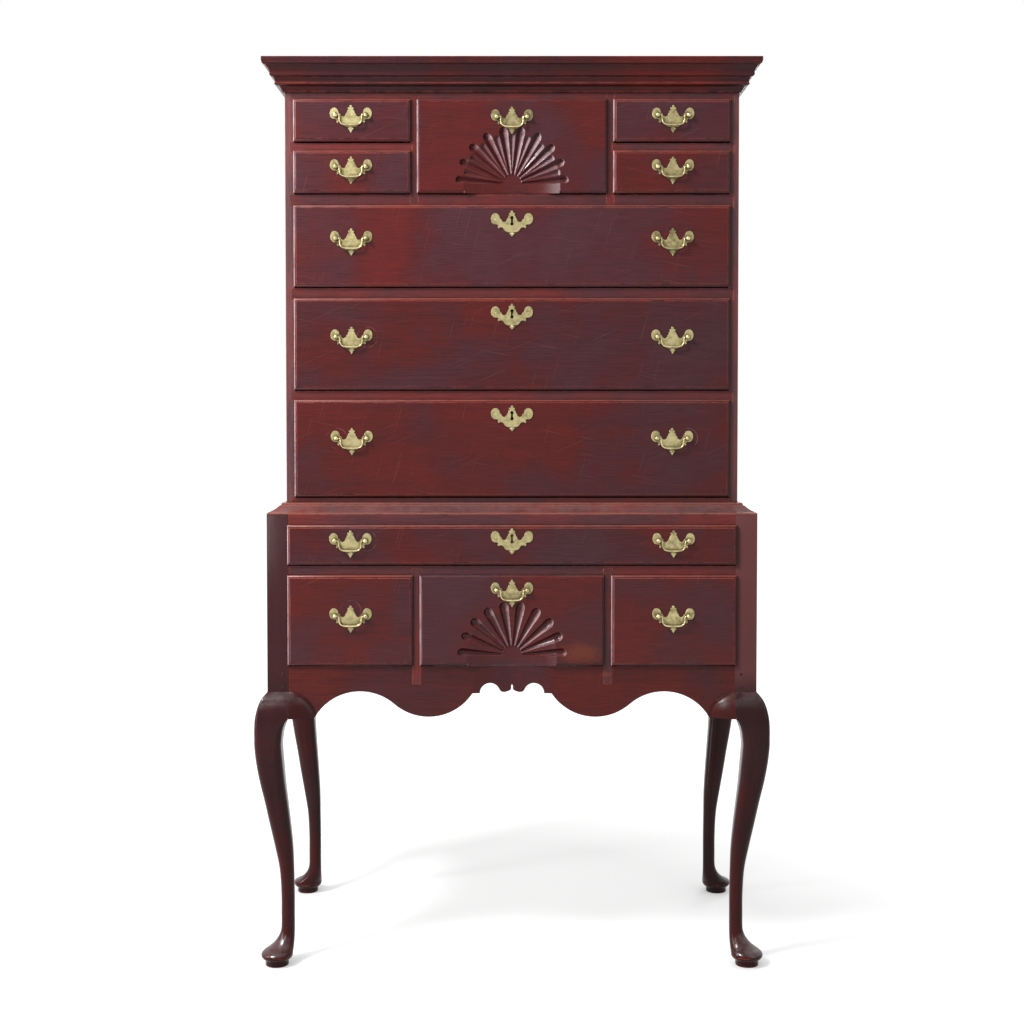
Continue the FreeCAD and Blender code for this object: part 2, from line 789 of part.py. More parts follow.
def build_upper_case():
    """Sides, top and bottom boards, back boards, rails, uprights and runners."""
    housed = ("-(Place.upper_in + Size.housing)", "Place.upper_in + Size.housing")
    deep = ("Place.upper_front", "Place.upper_front + Size.rail_deep")
    full = ("Place.upper_front", "Place.upper_back_face")
    bars = []
    for name, low, high in (
        ("third", "Place.third_high", "Place.second_low"),
        ("second", "Place.second_high", "Place.first_low"),
        ("first", "Place.first_high", "Place.small_low"),
    ):
        bars.append(box(f"{name}_rail_bar", housed, deep, (low, high)))
    small_x = ("Place.upper_div_out - Size.housing / 2", "Place.upper_in + Size.housing")
    small_z = ("Place.small_high", "Place.top_low")
    smalls = [box(f"small_rail_{hand}", x, deep, small_z) for hand, x in zip(HANDS, both_sides(*small_x))]
    stile = ("Place.upper_front", "Place.upper_front + Size.stile_deep")
    bars.append(box("head_rail_bar", housed, stile, ("Place.top_high", "Place.top_under")))
    foot_rail = box("foot_rail", housed, stile, ("Place.board_top", "Place.third_low"))
    bottom = box("bottom_board", housed, full, ("Place.upper_foot", "Place.board_top"))

    back_x = ("-(Place.upper_in + Size.rabbet)", "Place.upper_in + Size.rabbet")
    back_y = ("Place.upper_back_face", "Place.back")
    rebate = box("back_rebate", back_x, back_y, ("Place.upper_foot", "Place.top_under"))
    sides = []
    for hand, x in zip(HANDS, both_sides("Place.upper_in", "Place.upper_half")):
        tall = ("Place.upper_foot", "Place.top_under")
        board = box(f"upper_side_board_{hand}", x, ("Place.upper_front", "Place.back"), tall)
        sides.append(cut(f"upper_side_{hand}", board, [rebate, foot_rail, bottom] + bars + smalls))
    node("upper_sides", sides)

    top_x = ("-Place.upper_half", "Place.upper_half")
    top_z = ("Place.top_under", "Place.upper_top")
    top = box("top_board", top_x, ("Place.upper_front", "Place.back"), top_z)
    node("upper_top_and_bottom", [top, bottom])

    step = f"(Place.top_under - Place.upper_foot) / {BACK_BOARDS}"
    backs = []
    for index in range(BACK_BOARDS):
        z = (f"Place.upper_foot + {index} * {step}", f"Place.upper_foot + {index + 1} * {step}")
        backs.append(box(f"back_board_{index}", back_x, back_y, z))
    node("upper_back", backs)

    div = ("Place.upper_div_in", "Place.upper_div_out")
    lap_low = "Place.small_low - Size.first_rail * 0.8"
    feet = laps("upper_lap_foot", *div, "Place.upper_front", lap_low, "Place.small_low")
    lap_top = "Place.top_high + Size.lap_head"
    heads = laps("upper_lap_head", *div, "Place.upper_front", "Place.top_high", lap_top)
    uprights = []
    for hand, x, foot, head, small in zip(HANDS, both_sides(*div), feet, heads, smalls):
        board = box(f"upper_upright_{hand}", x, full, ("Place.small_low", "Place.top_high"))
        whole = fuse(f"upper_upright_{hand}_whole", [board, foot, head])
        uprights.append(cut(f"upper_upright_{hand}_housed", whole, [small]))
    third_bar, second_bar, first_bar, head_bar = bars
    rails = [
        cut("third_rail_mortised", third_bar, [bolt_mortise("third", "Place.third_high")]),
        cut("second_rail_mortised", second_bar, [bolt_mortise("second", "Place.second_high")]),
        cut("first_rail_lapped", first_bar, feet + [bolt_mortise("first", "Place.first_high")]),
        cut("head_rail_lapped", head_bar, heads),
    ]
    node("upper_dividers", [foot_rail] + rails + smalls + uprights)

    runners = []
    for level, start in (
        ("third_low", "Size.stile_deep"),
        ("second_low", "Size.rail_deep"),
        ("first_low", "Size.rail_deep"),
        ("small_low", "Size.rail_deep"),
        ("top_low", "Size.rail_deep"),
    ):
        y = (f"Place.upper_front + {start}", "Place.upper_back_face")
        z = (f"Place.{level} - Size.runner_high", f"Place.{level}")
        for hand, x in zip(HANDS, both_sides("Place.upper_in - Size.runner_wide", "Place.upper_in")):
            runners.append(box(f"runner_{level}_{hand}", x, y, z))
        if level in ("small_low", "top_low"):
            beside = "Place.upper_div_in - Size.runner_wide"
            inward = beside if level == "small_low" else "Place.upper_div_out"
            for hand, x in zip(HANDS, both_sides(inward, "Place.upper_div_out + Size.runner_wide")):
                runners.append(box(f"runner_{level}_inner_{hand}", x, y, z))
    node("upper_runners", runners)

    base = "Place.upper_top - Size.cornice_height"
    moulding("cornice", cornice_path(), "Place.upper_half", "Place.upper_front", base)


def bolt_y(extra="0"):
    """The depth range of a lock bolt, which lies in the middle of the lock's thickness."""
    middle = "Place.upper_front + Size.front_thick - Size.lock_thick / 2"
    reach = f"(Size.bolt_thick / 2 + {extra})"
    return (f"{middle} - {reach}", f"{middle} + {reach}")


def bolt_mortise(name, level):
    """The slot in the rail over a long drawer that its bolt rises into."""
    reach = "(Size.bolt_wide / 2 + Size.slide_gap)"
    z = (level, f"{level} + Size.mortise_high")
    return box(f"bolt_mortise_{name}", (f"-{reach}", reach), bolt_y("Size.slide_gap"), z)


# ---------------------------------------------------------------- drawers

LONG = ("-Place.upper_in", "Place.upper_in")
LOWER_LONG = ("-Place.post_in", "Place.post_in")
SMALL = ("Place.upper_div_out", "Place.upper_in")
ROW = ("Place.lower_div_out", "Place.post_in")
UPPER_MIDDLE = ("-Place.upper_div_in", "Place.upper_div_in")
LOWER_MIDDLE = ("-Place.lower_div_in", "Place.lower_div_in")
UPPER = ("Place.upper_front", "Place.upper_back_face")
LOWER = ("Place.front", "Place.lower_back_face")
PAIR = ("right", "left")
MIDDLE = ("middle",)
LOWER_LONG_Z = ("Place.low_long_low", "Place.low_long_high")

# name: opening across, opening in height, front and back planes, bails, height of the bails' posts, extras
DRAWERS = {
    "top_left": (flipped(SMALL), ("Place.top_low", "Place.top_high"), UPPER, ("left",), "small", ""),
    "top_right": (SMALL, ("Place.top_low", "Place.top_high"), UPPER, ("right",), "small", ""),
    "small_left": (flipped(SMALL), ("Place.small_low", "Place.small_high"), UPPER, ("left",), "small", ""),
    "small_right": (SMALL, ("Place.small_low", "Place.small_high"), UPPER, ("right",), "small", ""),
    "upper_fan": (UPPER_MIDDLE, ("Place.small_low", "Place.top_high"), UPPER, MIDDLE, "upper_fan", "fan"),
    "first_long": (LONG, ("Place.first_low", "Place.first_high"), UPPER, PAIR, "first", "lock"),
    "second_long": (LONG, ("Place.second_low", "Place.second_high"), UPPER, PAIR, "second", "lock"),
    "third_long": (LONG, ("Place.third_low", "Place.third_high"), UPPER, PAIR, "third", "lock"),
    "lower_long": (LOWER_LONG, LOWER_LONG_Z, LOWER, PAIR, "lower_long", "blind"),
    "lower_left": (flipped(ROW), ("Place.row_low", "Place.row_high"), LOWER, ("left",), "row", ""),
    "lower_right": (ROW, ("Place.row_low", "Place.row_high"), LOWER, ("right",), "row", ""),
    "lower_fan": (LOWER_MIDDLE, ("Place.row_low", "Place.row_high"), LOWER, MIDDLE, "lower_fan", "fan"),
}

LIP_SIDE = "(Size.lip_over - Size.slide_gap)"
BAIL_X = {"right": "Place.bail_at", "left": "-Place.bail_at", "middle": "0"}


def bail_level(rise, z):
    """How high the bails' posts stand: above a drawer's middle, or on the fan drawers below its top."""
    low, high = z
    if rise.endswith("fan"):
        return f"{high} + {LIP_SIDE} - Size.{rise}_bail_drop"
    return f"({low} + {high} + Size.lip_over) / 2 + Size.{rise}_bail_rise"


def key_level(z, extras):
    """The height of the middle of a keyhole."""
    drop = "Size.low_key_drop" if extras == "blind" else "Size.key_drop"
    return f"{z[1]} + {LIP_SIDE} - {drop}"


def radial_cut(body, name, level, face, turn, sharp, stations):
    """A fan's first flute or ray: a hollow tapered along a radius, by (distance, half width, depth)."""
    lean = f"(Size.fan_start + {turn})"
    sketches = []
    for index, (distance, wide, deep) in enumerate(stations):
        half = [(-0.5, wide), (deep, 0)] if sharp else [(-0.5, wide), (deep * 0.7, wide * 0.62), (deep, 0)]
        outline = half + [(x, -y) for x, y in half[-2::-1]]
        sketch = body_sketch(body, f"{name}_section_{index}", "YZ_Plane", chain(outline))
        sketch.AttachmentOffset = Placement(Vector(), Rotation(Vector(1, 0, 0), -size("fan_start") - turn))
        sketch.setExpression("AttachmentOffset.Base.x", face)
        sketch.setExpression("AttachmentOffset.Base.y", f"{level} + {distance} * sin({lean})")
        sketch.setExpression("AttachmentOffset.Base.z", f"{distance} * cos({lean})")
        sketches.append(sketch)
    loft = body.newObject("PartDesign::SubtractiveLoft", f"{name}_first")
    loft.Profile = sketches[0]
    loft.Sections = sketches[1:]
    loft.Ruled = True
    return loft


def fan_pattern(body, name, cut_one, centre, count, angle):
    """A flute or ray repeated round the hub."""
    pattern = body.newObject("PartDesign::PolarPattern", f"{name}_all")
    pattern.Originals = [cut_one]
    pattern.Axis = (centre, ["N_Axis"])
    pattern.setExpression("Angle", angle)
    pattern.Occurrences = count
    body.Tip = pattern


def fan_carving(body, name, face, level, rays):
    """Flutes round a plain hub, with a hollow below it that runs out at the drawer's lower edge."""
    reach, wide, deep = size("fan_radius"), size("flute_wide") / 2, size("flute_deep")
    centre = body_sketch(body, f"{name}_centre", "XZ_Plane", [])
    centre.setExpression("AttachmentOffset.Base.y", level)
    centre.setExpression("AttachmentOffset.Base.z", f"-({face})")
    flute = radial_cut(body, f"{name}_flute", level, face, 0, False, [
        (size("fan_hub"), size("flute_root") / 2, deep * 0.25),
        (reach * 0.9, wide, deep),
        (reach * 0.965, wide * 0.8, deep * 0.8),
        (reach, wide * 0.28, deep * 0.25),
    ])
    fan_pattern(body, f"{name}_flutes", flute, centre, int(size("flutes")), "180 - 2 * Size.fan_start")
    if rays:
        reach, wide = size("ray_reach"), size("ray_wide") / 2
        step = (180 - 2 * size("fan_start")) / (size("flutes") - 1)
        ray = radial_cut(body, f"{name}_ray", level, face, step / 2, True, [
            (reach * 0.33, wide * 0.2, size("ray_deep") * 0.2),
            (reach * 0.94, wide, size("ray_deep")),
            (reach, wide * 0.9, size("ray_deep") * 0.1),
        ])
        rays_turn = f"{step} * (Size.flutes - 2)"
        fan_pattern(body, f"{name}_rays", ray, centre, int(size("flutes")) - 1, rays_turn)
    hollow = body.newObject("PartDesign::SubtractiveCylinder", f"{name}_hollow")
    radius = scoop_radius("Size.scoop_half", "Size.scoop_deep")
    hollow.setExpression("Radius", radius)
    hollow.setExpression("Height", "Size.fan_rise")
    hollow.setExpression("Placement.Base.y", f"{face} + Size.scoop_deep - {radius}")
    hollow.setExpression("Placement.Base.z", f"{level} - Size.fan_rise")


def drawer_front(name, x, z, planes, bails, rise, extras):
    """A lipped front: rounded lip, raised field, tongue in the opening, holes for posts, key and lock."""
    front, thick = planes[0], "Size.fan_front_thick" if extras == "fan" else "Size.front_thick"
    (x0, x1), (z0, z1) = x, z
    body = doc.addObject("PartDesign::Body", f"{name}_front")
    face = f"{front} - Size.lip_proud"
    lip_x = (f"{x0} - {LIP_SIDE}", f"{x1} + {LIP_SIDE}")
    lip_z = (f"{z0} + Size.slide_gap", f"{z1} + {LIP_SIDE}")
    lip_y = (f"{face} + Size.lip_step", f"{front} - Size.lip_gap")
    lip = body_box(body, "Additive", f"{name}_lip", lip_x, lip_y, lip_z)
    doc.recompute()
    low_y = lip.Shape.BoundBox.YMin
    edges = [f"Edge{i}" for i, edge in enumerate(lip.Shape.Edges, 1) if edge.BoundBox.YMax < low_y + 1e-4]
    rounded = body.newObject("PartDesign::Fillet", f"{name}_lip_round")
    rounded.Base = (lip, edges)
    rounded.setExpression("Radius", "Size.lip_round")
    inset = "(Size.lip_round + 0.4)"
    field_x = (f"{lip_x[0]} + {inset}", f"{lip_x[1]} - {inset}")
    field_z = (f"{lip_z[0]} + {inset}", f"{lip_z[1]} - {inset}")
    body_box(body, "Additive", f"{name}_field", field_x, (face, f"{face} + Size.lip_step"), field_z)
    tongue_x = (f"{x0} + Size.slide_gap", f"{x1} - Size.slide_gap")
    tongue_z = (f"{z0} + Size.slide_gap", f"{z1} - Size.slide_gap")
    lap = f"{front} + Size.front_lap"
    body_box(body, "Additive", f"{name}_tongue", tongue_x, (f"{front} - Size.lip_gap", lap), tongue_z)
    inner_x = (f"{tongue_x[0]} + Size.drawer_side", f"{tongue_x[1]} - Size.drawer_side")
    body_box(body, "Additive", f"{name}_inner", inner_x, (lap, f"{front} + {thick}"), tongue_z)
    if extras == "fan":
        fan_carving(body, name, face, f"{lip_z[0]} + Size.fan_rise", name == "upper_fan")
    half = "Size.post_square / 2"
    level = bail_level(rise, z)
    through = (face, f"{front} + {thick}")
    for which in bails:
        for hand, sign in (("a", "-"), ("b", "+")):
            middle = f"{BAIL_X[which]} {sign} Size.bore / 2"
            hole_x = (f"{middle} - {half}", f"{middle} + {half}")
            hole_z = (f"{level} - {half}", f"{level} + {half}")
            body_box(body, "Subtractive", f"{name}_{which}_hole_{hand}", hole_x, through, hole_z)
    if extras == "lock":
        key = body_sketch(body, f"{name}_keyhole_outline", "XZ_Plane", chain(keyhole_path()))
        key.setExpression("AttachmentOffset.Base.y", key_level(z, extras))
        key.setExpression("AttachmentOffset.Base.z", f"-({face})")
        keyhole = body.newObject("PartDesign::Pocket", f"{name}_keyhole")
        keyhole.Profile = key
        keyhole.setExpression("Length", f"Size.lip_proud + {thick}")
        lock_x = ("-Size.lock_wide / 2", "Size.lock_wide / 2")
        lock_y = (f"{front} + {thick} - Size.lock_thick", f"{front} + {thick}")
        lock_z = (f"{tongue_z[1]} - Size.lock_high", tongue_z[1])
        body_box(body, "Subtractive", f"{name}_lock_recess", lock_x, lock_y, lock_z)
    return body


def drawer_box(name, x, z, planes, extras):
    """Sides, back and bottom board. The bottom lies in grooves of the front and sides, under the back."""
    thick = "Size.fan_front_thick" if extras == "fan" else "Size.front_thick"
    front, back = planes[0], f"{planes[1]} - Size.drawer_back_gap"
    out = (f"{x[0]} + Size.slide_gap", f"{x[1]} - Size.slide_gap")
    inner = (f"{out[0]} + Size.drawer_side", f"{out[1]} - Size.drawer_side")
    side_z = (z[0], f"{z[1]} - Size.slide_gap - Size.lip_over")
    bottom_z = (f"{z[0]} + Size.bottom_up", f"{z[0]} + Size.bottom_up + Size.drawer_bottom")
    bottom_x = (f"{inner[0]} - Size.groove", f"{inner[1]} + Size.groove")
    bottom = box(f"{name}_bottom", bottom_x, (f"{front} + {thick} - Size.groove", back), bottom_z)
    side_y = (f"{front} + Size.front_lap", back)
    pieces = [bottom]
    for hand, side_x in (("left", (out[0], inner[0])), ("right", (inner[1], out[1]))):
        board = box(f"{name}_side_board_{hand}", side_x, side_y, side_z)
        pieces.append(cut(f"{name}_side_{hand}", board, [bottom]))
    back_y = (f"{back} - Size.drawer_side", back)
    pieces.append(box(f"{name}_back", inner, back_y, (bottom_z[1], side_z[1])))
    return pieces


def build_drawers():
    for name, (x, z, planes, bails, rise, extras) in DRAWERS.items():
        front = drawer_front(name, x, z, planes, bails, rise, extras)
        pieces = drawer_box(name, x, z, planes, extras)
        grooved = cut(f"{name}_front_grooved", front, [pieces[0]])
        node(f"drawer_{name}", [grooved] + pieces)


# ---------------------------------------------------------------- brasses


def plate_path():
    """A brass plate's outline: half from the top finial round to the bottom one, then mirrored."""
    turns = (-1.15, -0.35, 0.45, 1.25, 2.05, 2.8)
    disc = [(34.2 + 9.3 * math.sin(turn), 3.6 + 12.3 * math.cos(turn)) for turn in turns]
    return mirrored([
        (0, 20.2),
        (2.8, 18.2),
        (3, 13.4),
        (7, 10.4),
        (10.4, 2),
        (16.6, -2.9),
        (23.6, 2.4),
        *disc,
        (28.6, -8.5),
        (24.6, -17.6),
        (18.4, -16),
        (12.6, -19),
        (5.6, -24),
        (5, -28.4),
        (0, -35.8),
    ])


def keyhole_path():
    """A slot with two round ends of a few flats each, and a narrower waist."""
    radius, end = size("key_wide") / 2, size("key_high") / 2 - size("key_wide") / 2
    turns = [math.radians(angle) for angle in (-36, 18, 90)]
    upper = [(radius * math.cos(turn), end + radius * math.sin(turn)) for turn in turns]
    right = upper[::-1] + [(x, -y) for x, y in upper]
    return right + [(-x, y) for x, y in right[-2:0:-1]]


def bail_edge(offset, swell):
    """Half of one edge of a bail, from the top of the right arm round a bend to the middle."""
    half, drop, bend = size("bail_half"), size("bail_drop"), size("bail_bend")
    radius = bend + offset
    points = [(half + offset, size("bail_thick") / 2)]
    for index in range(BEND_FLATS + 1):
        turn = math.pi / 2 * index / BEND_FLATS
        points.append((half - bend + radius * math.cos(turn), bend - drop - radius * math.sin(turn)))
    return points + [(0, -drop - offset - swell)]


def bail_path():
    """A bail's outline: two arms, bends, and a cross piece that is heaviest in the middle."""
    reach = size("bail_thick") / 2
    outer, inner = bail_edge(reach, 0.9), bail_edge(-reach, 0.1)
    left_outer = [(-x, y) for x, y in outer[:-1]]
    left_inner = [(-x, y) for x, y in inner[:-1]]
    return outer + left_outer[::-1] + left_inner + inner[::-1]


def turned(name, middle, rings):
    """A small turned piece along -Y with flats for its round, through rings of (distance, radius)."""
    sections = []
    for index, (distance, radius) in enumerate(rings):
        ring = doc.addObject("Part::RegularPolygon", f"{name}_ring_{index}")
        ring.Polygon = HEAD_FLATS
        ring.setExpression("Circumradius", radius)
        ring.Placement = Placement(Vector(), PLANES["XZ"])
        ring.setExpression("Placement.Base.x", middle)
        ring.setExpression("Placement.Base.y", f"-({distance})")
        sections.append(ring)
    made = doc.addObject("Part::Loft", name)
    made.Sections = sections
    made.Solid = True
    made.Ruled = True
    return made


def across_pin(name, radius, start, end, sign):
    """A six-sided pin along X at the pivot, between two distances from the middle."""
    pin = doc.addObject("Part::Prism", name)
    pin.Polygon = 6
    pin.setExpression("Circumradius", radius)
    pin.setExpression("Height", f"({end}) - ({start})")
    pin.Placement = Placement(Vector(), Rotation(Vector(0, 1, 0), 90))
    pin.setExpression("Placement.Base.x", start if sign > 0 else f"-({end})")
    pin.setExpression("Placement.Base.y", "-Size.pivot_out")
    return pin


def brass_post(name, sign, thick, socket):
    """A post: square shank through the drawer front, head with a socket for the bail's pin, and its nut."""
    middle = f"{sign} * Size.bore / 2"
    half, nut_half = "Size.post_square / 2", "Size.nut_square / 2"
    end = f"Size.lip_proud + {thick} + Size.nut_thick"
    shank_x = (f"{middle} - {half}", f"{middle} + {half}")
    shank = box(f"{name}_shank", shank_x, ("-Size.plate_thick", end), (f"-{half}", half))
    head = turned(f"{name}_head", middle, [
        ("Size.plate_thick", "Size.head_radius * 0.7"),
        ("Size.pivot_out + Size.head_radius * 0.4", "Size.head_radius"),
        ("Size.head_out", "Size.head_radius * 0.5"),
    ])
    post = cut(f"{name}_post", fuse(f"{name}_post_whole", [shank, head]), [socket])
    nut_x = (f"{middle} - {nut_half}", f"{middle} + {nut_half}")
    nut_y = (f"Size.lip_proud + {thick}", end)
    nut = box(f"{name}_nut_blank", nut_x, nut_y, (f"-{nut_half}", nut_half))
    return shank, post, cut(f"{name}_nut", nut, [shank])


def build_brass_patterns():
    """One of each brass piece at the origin: its back on the drawer's face, its posts at height zero."""
    plate = prism("plate_blank", profile("plate_outline", "XZ", plate_path()), "Size.plate_thick")
    inner_face = "Size.bore / 2 - Size.head_radius"
    socket_radius = "(Size.pin_radius + Size.pin_gap) / cos(30)"
    sets = {}
    for kind, thick in (("plain", "Size.front_thick"), ("fan", "Size.fan_front_thick")):
        shanks, pieces = [], []
        for sign in (1, -1):
            name = f"{kind}_{'right' if sign > 0 else 'left'}"
            socket_end = f"{inner_face} + Size.pin_deep + Size.bolt_gap"
            socket = across_pin(f"{name}_socket", socket_radius, f"{inner_face} - 1", socket_end, sign)
            shank, *rest = brass_post(name, sign, thick, socket)
            shanks.append(shank)
            pieces += rest
        pierced = cut(f"{kind}_plate", plate, shanks)
        sets[kind] = joined("Part::Compound", f"{kind}_brass_set", [pierced] + pieces)
    forwards = (None, "Size.bail_thick / 2 - Size.pivot_out", None)
    outline = profile("bail_outline", "XZ", bail_path(), forwards)
    loop = prism("bail_loop", outline, "Size.bail_thick")
    pin_end = f"{inner_face} + Size.pin_deep"
    pins = [across_pin(f"bail_pin_{i}", "Size.pin_radius", "Size.bail_half", pin_end, sign)
            for i, sign in enumerate((1, -1))]
    sets["bail"] = fuse("bail_pattern", [loop] + pins)
    key = prism("escutcheon_slot", profile("escutcheon_keyhole", "XZ", keyhole_path()), "Size.plate_thick")
    sets["escutcheon"] = cut("escutcheon_pattern", plate, [key])
    return sets


def build_brasses():
    """Each drawer's fixed brasses as one group, and each bail and lock bolt by itself."""
    sets = build_brass_patterns()
    for name, (x, z, planes, bails, rise, extras) in DRAWERS.items():
        face = f"{planes[0]} - Size.lip_proud"
        level = bail_level(rise, z)
        kind = "fan" if extras == "fan" else "plain"
        fixed = []
        for which in bails:
            at = (BAIL_X[which], face, level)
            fixed.append(copy_of(f"{name}_set_{which}", sets[kind], *at))
            suffix = f"_{which}" if len(bails) > 1 else ""
            node(f"bail_{name}{suffix}", [copy_of(f"{name}_bail_{which}", sets["bail"], *at)])
        if extras in ("lock", "blind"):
            fixed.append(copy_of(f"{name}_escutcheon", sets["escutcheon"], "0", face, key_level(z, extras)))
        if extras == "lock":
            lock, bolt = build_lock(name, z)
            fixed.append(lock)
            node(f"bolt_{name}", [bolt])
        node(f"brasses_{name}", fixed)


def build_lock(name, z):
    """A lock let into the back of a long drawer's front, and its bolt, which rises into the rail above."""
    top = f"{z[1]} - Size.slide_gap"
    back = "Place.upper_front + Size.front_thick"
    lock_x = ("-Size.lock_wide / 2", "Size.lock_wide / 2")
    lock_y, lock_z = (f"{back} - Size.lock_thick", back), (f"{top} - Size.lock_high", top)
    case = box(f"{name}_lock_case", lock_x, lock_y, lock_z)
    bolt_top = f"{top} - 1"
    reach = "Size.bolt_wide / 2"
    bolt = box(f"{name}_bolt", (f"-{reach}", reach), bolt_y(), (f"{bolt_top} - Size.bolt_high", bolt_top))
    wide = (f"-({reach} + Size.bolt_gap)", f"{reach} + Size.bolt_gap")
    channel_z = (f"{bolt_top} - Size.bolt_high - Size.bolt_gap", top)
    channel = box(f"{name}_bolt_channel", wide, bolt_y("Size.bolt_gap"), channel_z)
    return cut(f"{name}_lock", case, [channel]), bolt


# ---------------------------------------------------------------- build


def main():
    div = ("Place.lower_div_in", "Place.lower_div_out")
    feet = laps("lower_lap_foot", *div, "Place.front", "Place.row_low - Size.lap_foot", "Place.row_low")
    lap_top = "Place.row_high + Size.middle_rail * 0.75"
    heads = laps("lower_lap_head", *div, "Place.front", "Place.row_high", lap_top)
    found = build_legs()
    build_lower_boards(found, feet)
    build_lower_dividers(found, feet, heads)
    build_lower_runners()
    build_knee_blocks()
    waist_half, waist_front = "Place.upper_half + Size.waist_gap", "Place.upper_front - Size.waist_gap"
    moulding("waist_moulding", waist_path(), waist_half, waist_front, "Place.case_top")
    build_upper_case()
    build_drawers()
    build_brasses()
    doc.recompute()
    failed = [item.Name for item in doc.Objects if {"Invalid", "Error"} & set(item.State)]
    if failed:
        raise RuntimeError(f"features that did not build: {failed}")
    for piece in SUBPARTS:
        if piece.Shape.isNull() or not piece.Shape.isValid() or not piece.Shape.Solids:
            raise RuntimeError(f"{piece.Label} is not a valid solid")
    os.makedirs("parts", exist_ok=True)
    for piece in SUBPARTS:
        piece.Shape.exportStep(f"parts/{piece.Label}.step")


main()
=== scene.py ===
import bmesh
import bpy
import json
import math
from mathutils import Matrix, Vector

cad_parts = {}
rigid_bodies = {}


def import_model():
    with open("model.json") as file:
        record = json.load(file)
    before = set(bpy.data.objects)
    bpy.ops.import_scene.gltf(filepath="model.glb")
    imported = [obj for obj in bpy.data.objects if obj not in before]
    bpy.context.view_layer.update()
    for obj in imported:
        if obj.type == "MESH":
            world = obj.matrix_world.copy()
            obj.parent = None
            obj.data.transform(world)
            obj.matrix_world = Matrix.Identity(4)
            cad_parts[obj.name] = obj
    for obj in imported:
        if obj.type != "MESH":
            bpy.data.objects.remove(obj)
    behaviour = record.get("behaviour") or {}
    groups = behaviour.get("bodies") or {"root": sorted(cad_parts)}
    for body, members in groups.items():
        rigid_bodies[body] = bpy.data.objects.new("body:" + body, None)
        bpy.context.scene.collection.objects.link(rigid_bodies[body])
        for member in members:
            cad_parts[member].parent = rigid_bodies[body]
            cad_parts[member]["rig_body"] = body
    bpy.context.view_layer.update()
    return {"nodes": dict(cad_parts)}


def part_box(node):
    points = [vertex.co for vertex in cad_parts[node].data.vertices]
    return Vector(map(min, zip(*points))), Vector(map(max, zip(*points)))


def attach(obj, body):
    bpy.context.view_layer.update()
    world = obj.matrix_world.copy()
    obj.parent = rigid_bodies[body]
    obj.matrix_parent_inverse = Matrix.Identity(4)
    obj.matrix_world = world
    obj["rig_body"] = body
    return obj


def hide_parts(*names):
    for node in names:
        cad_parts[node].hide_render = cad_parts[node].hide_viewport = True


# A flat-top high chest: stained and varnished wood with cast brasses. Metres, +X right, +Y back, +Z up.

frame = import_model()
MM = 0.001
UPPER_FACE, LOWER_FACE = -0.218, -0.253
ACROSS, BACKWARDS, UPRIGHT = Vector((1, 0, 0)), Vector((0, 1, 0)), Vector((0, 0, 1))


# ---------------------------------------------------------------- node trees


